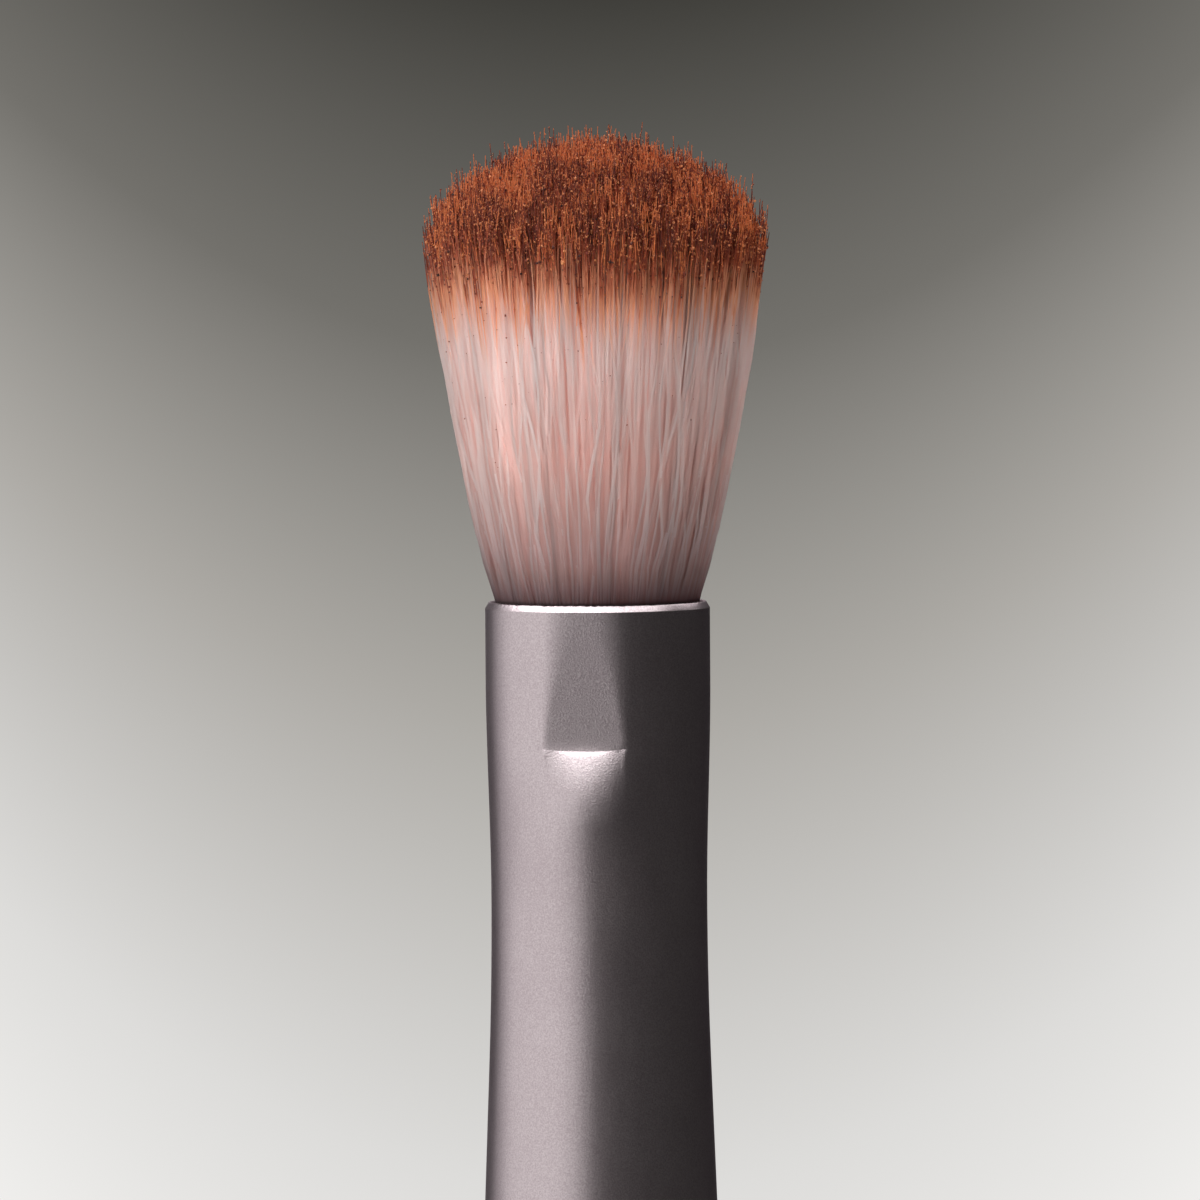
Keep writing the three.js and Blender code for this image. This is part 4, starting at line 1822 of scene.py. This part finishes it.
@dataclass(frozen=True)
class Softbox:
    """A soft lamp that faces the tuft, placed by its direction from there."""

    name: str
    azimuth: float
    elevation: float
    distance: float
    width: float
    height: float
    radiance: float

    def build(self, target: Vector) -> None:
        """Adds the lamp.

        Args:
            target: The point that it faces, in metres.
        """
        away = direction(self.azimuth, self.elevation)
        bpy.ops.object.light_add(type="AREA", location=target + away * self.distance * MM)
        lamp = bpy.context.object
        lamp.name = self.name
        lamp.rotation_euler = away.to_track_quat("Z", "Y").to_euler()
        lamp.data.shape = "RECTANGLE"
        lamp.data.size = self.width * MM
        lamp.data.size_y = self.height * MM
        lamp.data.energy = self.radiance * math.pi * self.width * self.height * MM**2


@dataclass(frozen=True)
class Card:
    """A curved card round the brush, placed by azimuth, that only the metal's reflections see."""

    name: str
    lower: Span
    upper: Span
    start: float
    end: float
    radiance: float
    steps: int = 48

    def build(self, rim: float) -> None:
        """Adds the card.

        Args:
            rim: Height of the ferrule's rim, above which the card's edges are given.
        """
        outline = [(radius, rim + height) for radius, height in (self.lower, self.upper)]
        card = turned(self.name, outline, self.steps, math.radians(self.end - self.start))
        card.rotation_euler.z = math.radians(self.end - 90)
        bpy.ops.object.transform_apply(location=False, rotation=True, scale=False)
        card.data.materials.append(CardPaper(self.name, self.radiance).material())
        card.visible_camera = False
        card.visible_diffuse = False
        card.visible_shadow = False
        card.visible_transmission = False


@dataclass
class Studio:
    """Camera, lamps, backdrop, floor and the cards round the brush."""

    rim: float = top_of("ferrule")
    azimuth: float = 7.8
    elevation: float = 2.6
    roll: float = -0.36
    distance: float = 400.0
    clip_start: float = 10.0
    frame_width: float = 42.7
    aim_right: float = 0.09
    aim_up: float = 0.04
    bowl_reach: float = 0.0032
    bowl_drop: float = 0.029
    # Place of the backdrop's ends in the view, as shares of its width above and below the middle
    dark_above: float = 620 / 1200
    pale_below: float = 900 / 1200
    backdrop: Stops = (
        (0.0, "#3C3B37"), (0.253, "#73716C"), (0.49, "#ACA9A4"), (0.796, "#DDDCDA"), (1.0, "#F0EFED"),
    )
    floor_radius: float = 700.0
    floor_fade: float = 470.0
    floor_sides: int = 96
    fill: float = 0.08
    bounces: int = 16
    shadow_layers: int = 48
    softboxes: tuple[Softbox, ...] = (
        Softbox("key_softbox", -65, 18, 450, 740, 400, 0.52),
        Softbox("front_softbox", -20, 42, 480, 320, 300, 2.15),
        Softbox("overhead_softbox", -39, 80, 400, 900, 900, 0.85),
        Softbox("back_softbox", 172, 50, 420, 500, 260, 4.6),
    )
    cards: tuple[Card, ...] = (
        Card("grey_card_edge", (130, -73), (130, 90), -123, -104, 0.5),
        Card("pale_card_left", (130, -73), (130, 90), -104, -28, 0.86),
        Card("grey_card_left", (120, -73), (120, 50), -28, -16, 0.66),
        Card("grey_card_middle", (120, -73), (120, 50), -16, -7, 0.46),
        Card("grey_card_right", (120, -73), (120, 50), -7, 4, 0.05),
        Card("dark_card_right", (120, -73), (120, 50), 4, 184, 0.026),
        Card("dark_card_left", (140, -73), (140, 72), -177, -121, 0.05),
        Card("white_card_left", (248, 84), (100, 240), -129, 4, 3.1),
        Card("white_card_right", (180, 185), (100, 240), 4, 131, 2.3),
    )

    def right(self) -> Vector:
        """Direction to the right in the camera's view."""
        return direction(self.azimuth + 90, 0)

    def add_camera(self) -> None:
        """Adds the camera at the photograph's viewing angle."""
        towards = direction(self.azimuth, self.elevation)
        aim = Vector((0, 0, self.rim + self.aim_up)) + self.right() * self.aim_right
        bpy.ops.object.camera_add(location=(aim + towards * self.distance) * MM)
        camera = bpy.context.object
        rolled = (-towards).to_track_quat("-Z", "Y") @ Quaternion((0, 0, 1), math.radians(self.roll))
        camera.rotation_euler = rolled.to_euler()
        camera.data.lens = camera.data.sensor_width * self.distance / self.frame_width
        camera.data.clip_start = self.clip_start * MM
        bpy.context.scene.camera = camera

    def add_world(self) -> None:
        """Adds the backdrop's gradient, dark above and pale below, and a plain fill light."""
        world = bpy.data.worlds.new("studio")
        bpy.context.scene.world = world
        tree = fresh_tree(world)
        way = add_node(tree, "TexCoord", output="Generated")
        camera, glossy, through = (
            add_node(tree, "LightPath", output=f"Is {kind} Ray")
            for kind in ("Camera", "Glossy", "Transmission")
        )
        sideways = add_node(tree, "VectorMath", {0: way, 1: self.right()}, operation="DOT_PRODUCT")
        bowl = add_node(tree, "Math", {0: sideways, 1: sideways}, operation="MULTIPLY")
        seen = add_node(tree, "Math", {0: bowl, 1: camera}, operation="MULTIPLY")
        bowl_ends = {"From Max": self.bowl_reach, "To Max": self.bowl_drop}
        below = add_node(tree, "MapRange", {"Value": seen, **bowl_ends})
        up = add_node(tree, "SeparateXYZ", {"Vector": way}, "Z")
        drop = add_node(tree, "Math", {0: below, 1: up}, operation="SUBTRACT")
        width = self.frame_width / self.distance
        horizon = math.sin(math.radians(self.elevation))
        ends = {
            "From Min": horizon - self.dark_above * width,
            "From Max": horizon + self.pale_below * width,
        }
        gradient = add_ramp(tree, add_node(tree, "MapRange", {"Value": drop, **ends}), self.backdrop)
        mirrored = add_node(tree, "Math", {0: camera, 1: glossy}, operation="MAXIMUM")
        shown = add_node(tree, "Math", {0: mirrored, 1: through}, operation="MAXIMUM")
        fill = (self.fill, self.fill, self.fill, 1.0)
        colour = add_node(tree, "Mix", {"Factor": shown, MIX_A: fill, MIX_B: gradient}, data_type="RGBA")
        background = add_node(tree, "Background", {"Color": colour})
        add_node(tree, "OutputWorld", {"Surface": background})

    def add_floor(self) -> None:
        """Adds the pale floor, which fades out at its edge."""
        bpy.ops.object.select_all(action="DESELECT")
        bpy.ops.mesh.primitive_circle_add(
            vertices=self.floor_sides, radius=self.floor_radius * MM, fill_type="NGON"
        )
        floor = bpy.context.object
        floor.name = "floor"
        floor.data.materials.append(FloorPaper(self.floor_radius, self.floor_fade).material())

    def build(self) -> None:
        """Sets up the whole studio."""
        scene = bpy.context.scene
        scene.view_settings.view_transform = "Standard"
        scene.cycles.max_bounces = self.bounces
        scene.cycles.diffuse_bounces = self.bounces
        scene.cycles.transparent_max_bounces = self.shadow_layers
        self.add_camera()
        self.add_world()
        self.add_floor()
        for card in self.cards:
            card.build(self.rim)
        for softbox in self.softboxes:
            softbox.build(Vector((0, 0, self.rim * MM)))


def main() -> None:
    """Builds the studio and the brush, piece by piece."""
    logging.basicConfig(level=logging.INFO, format="%(message)s")
    Studio().build()
    pieces = [BaseCap().build(), GripSleeve().build(), Ferrule().build(), BristleRoots().build()]
    pieces += Tuft().build()
    pieces += Inside().build()
    for piece in pieces:
        report(piece)


if __name__ == "__main__":
    main()
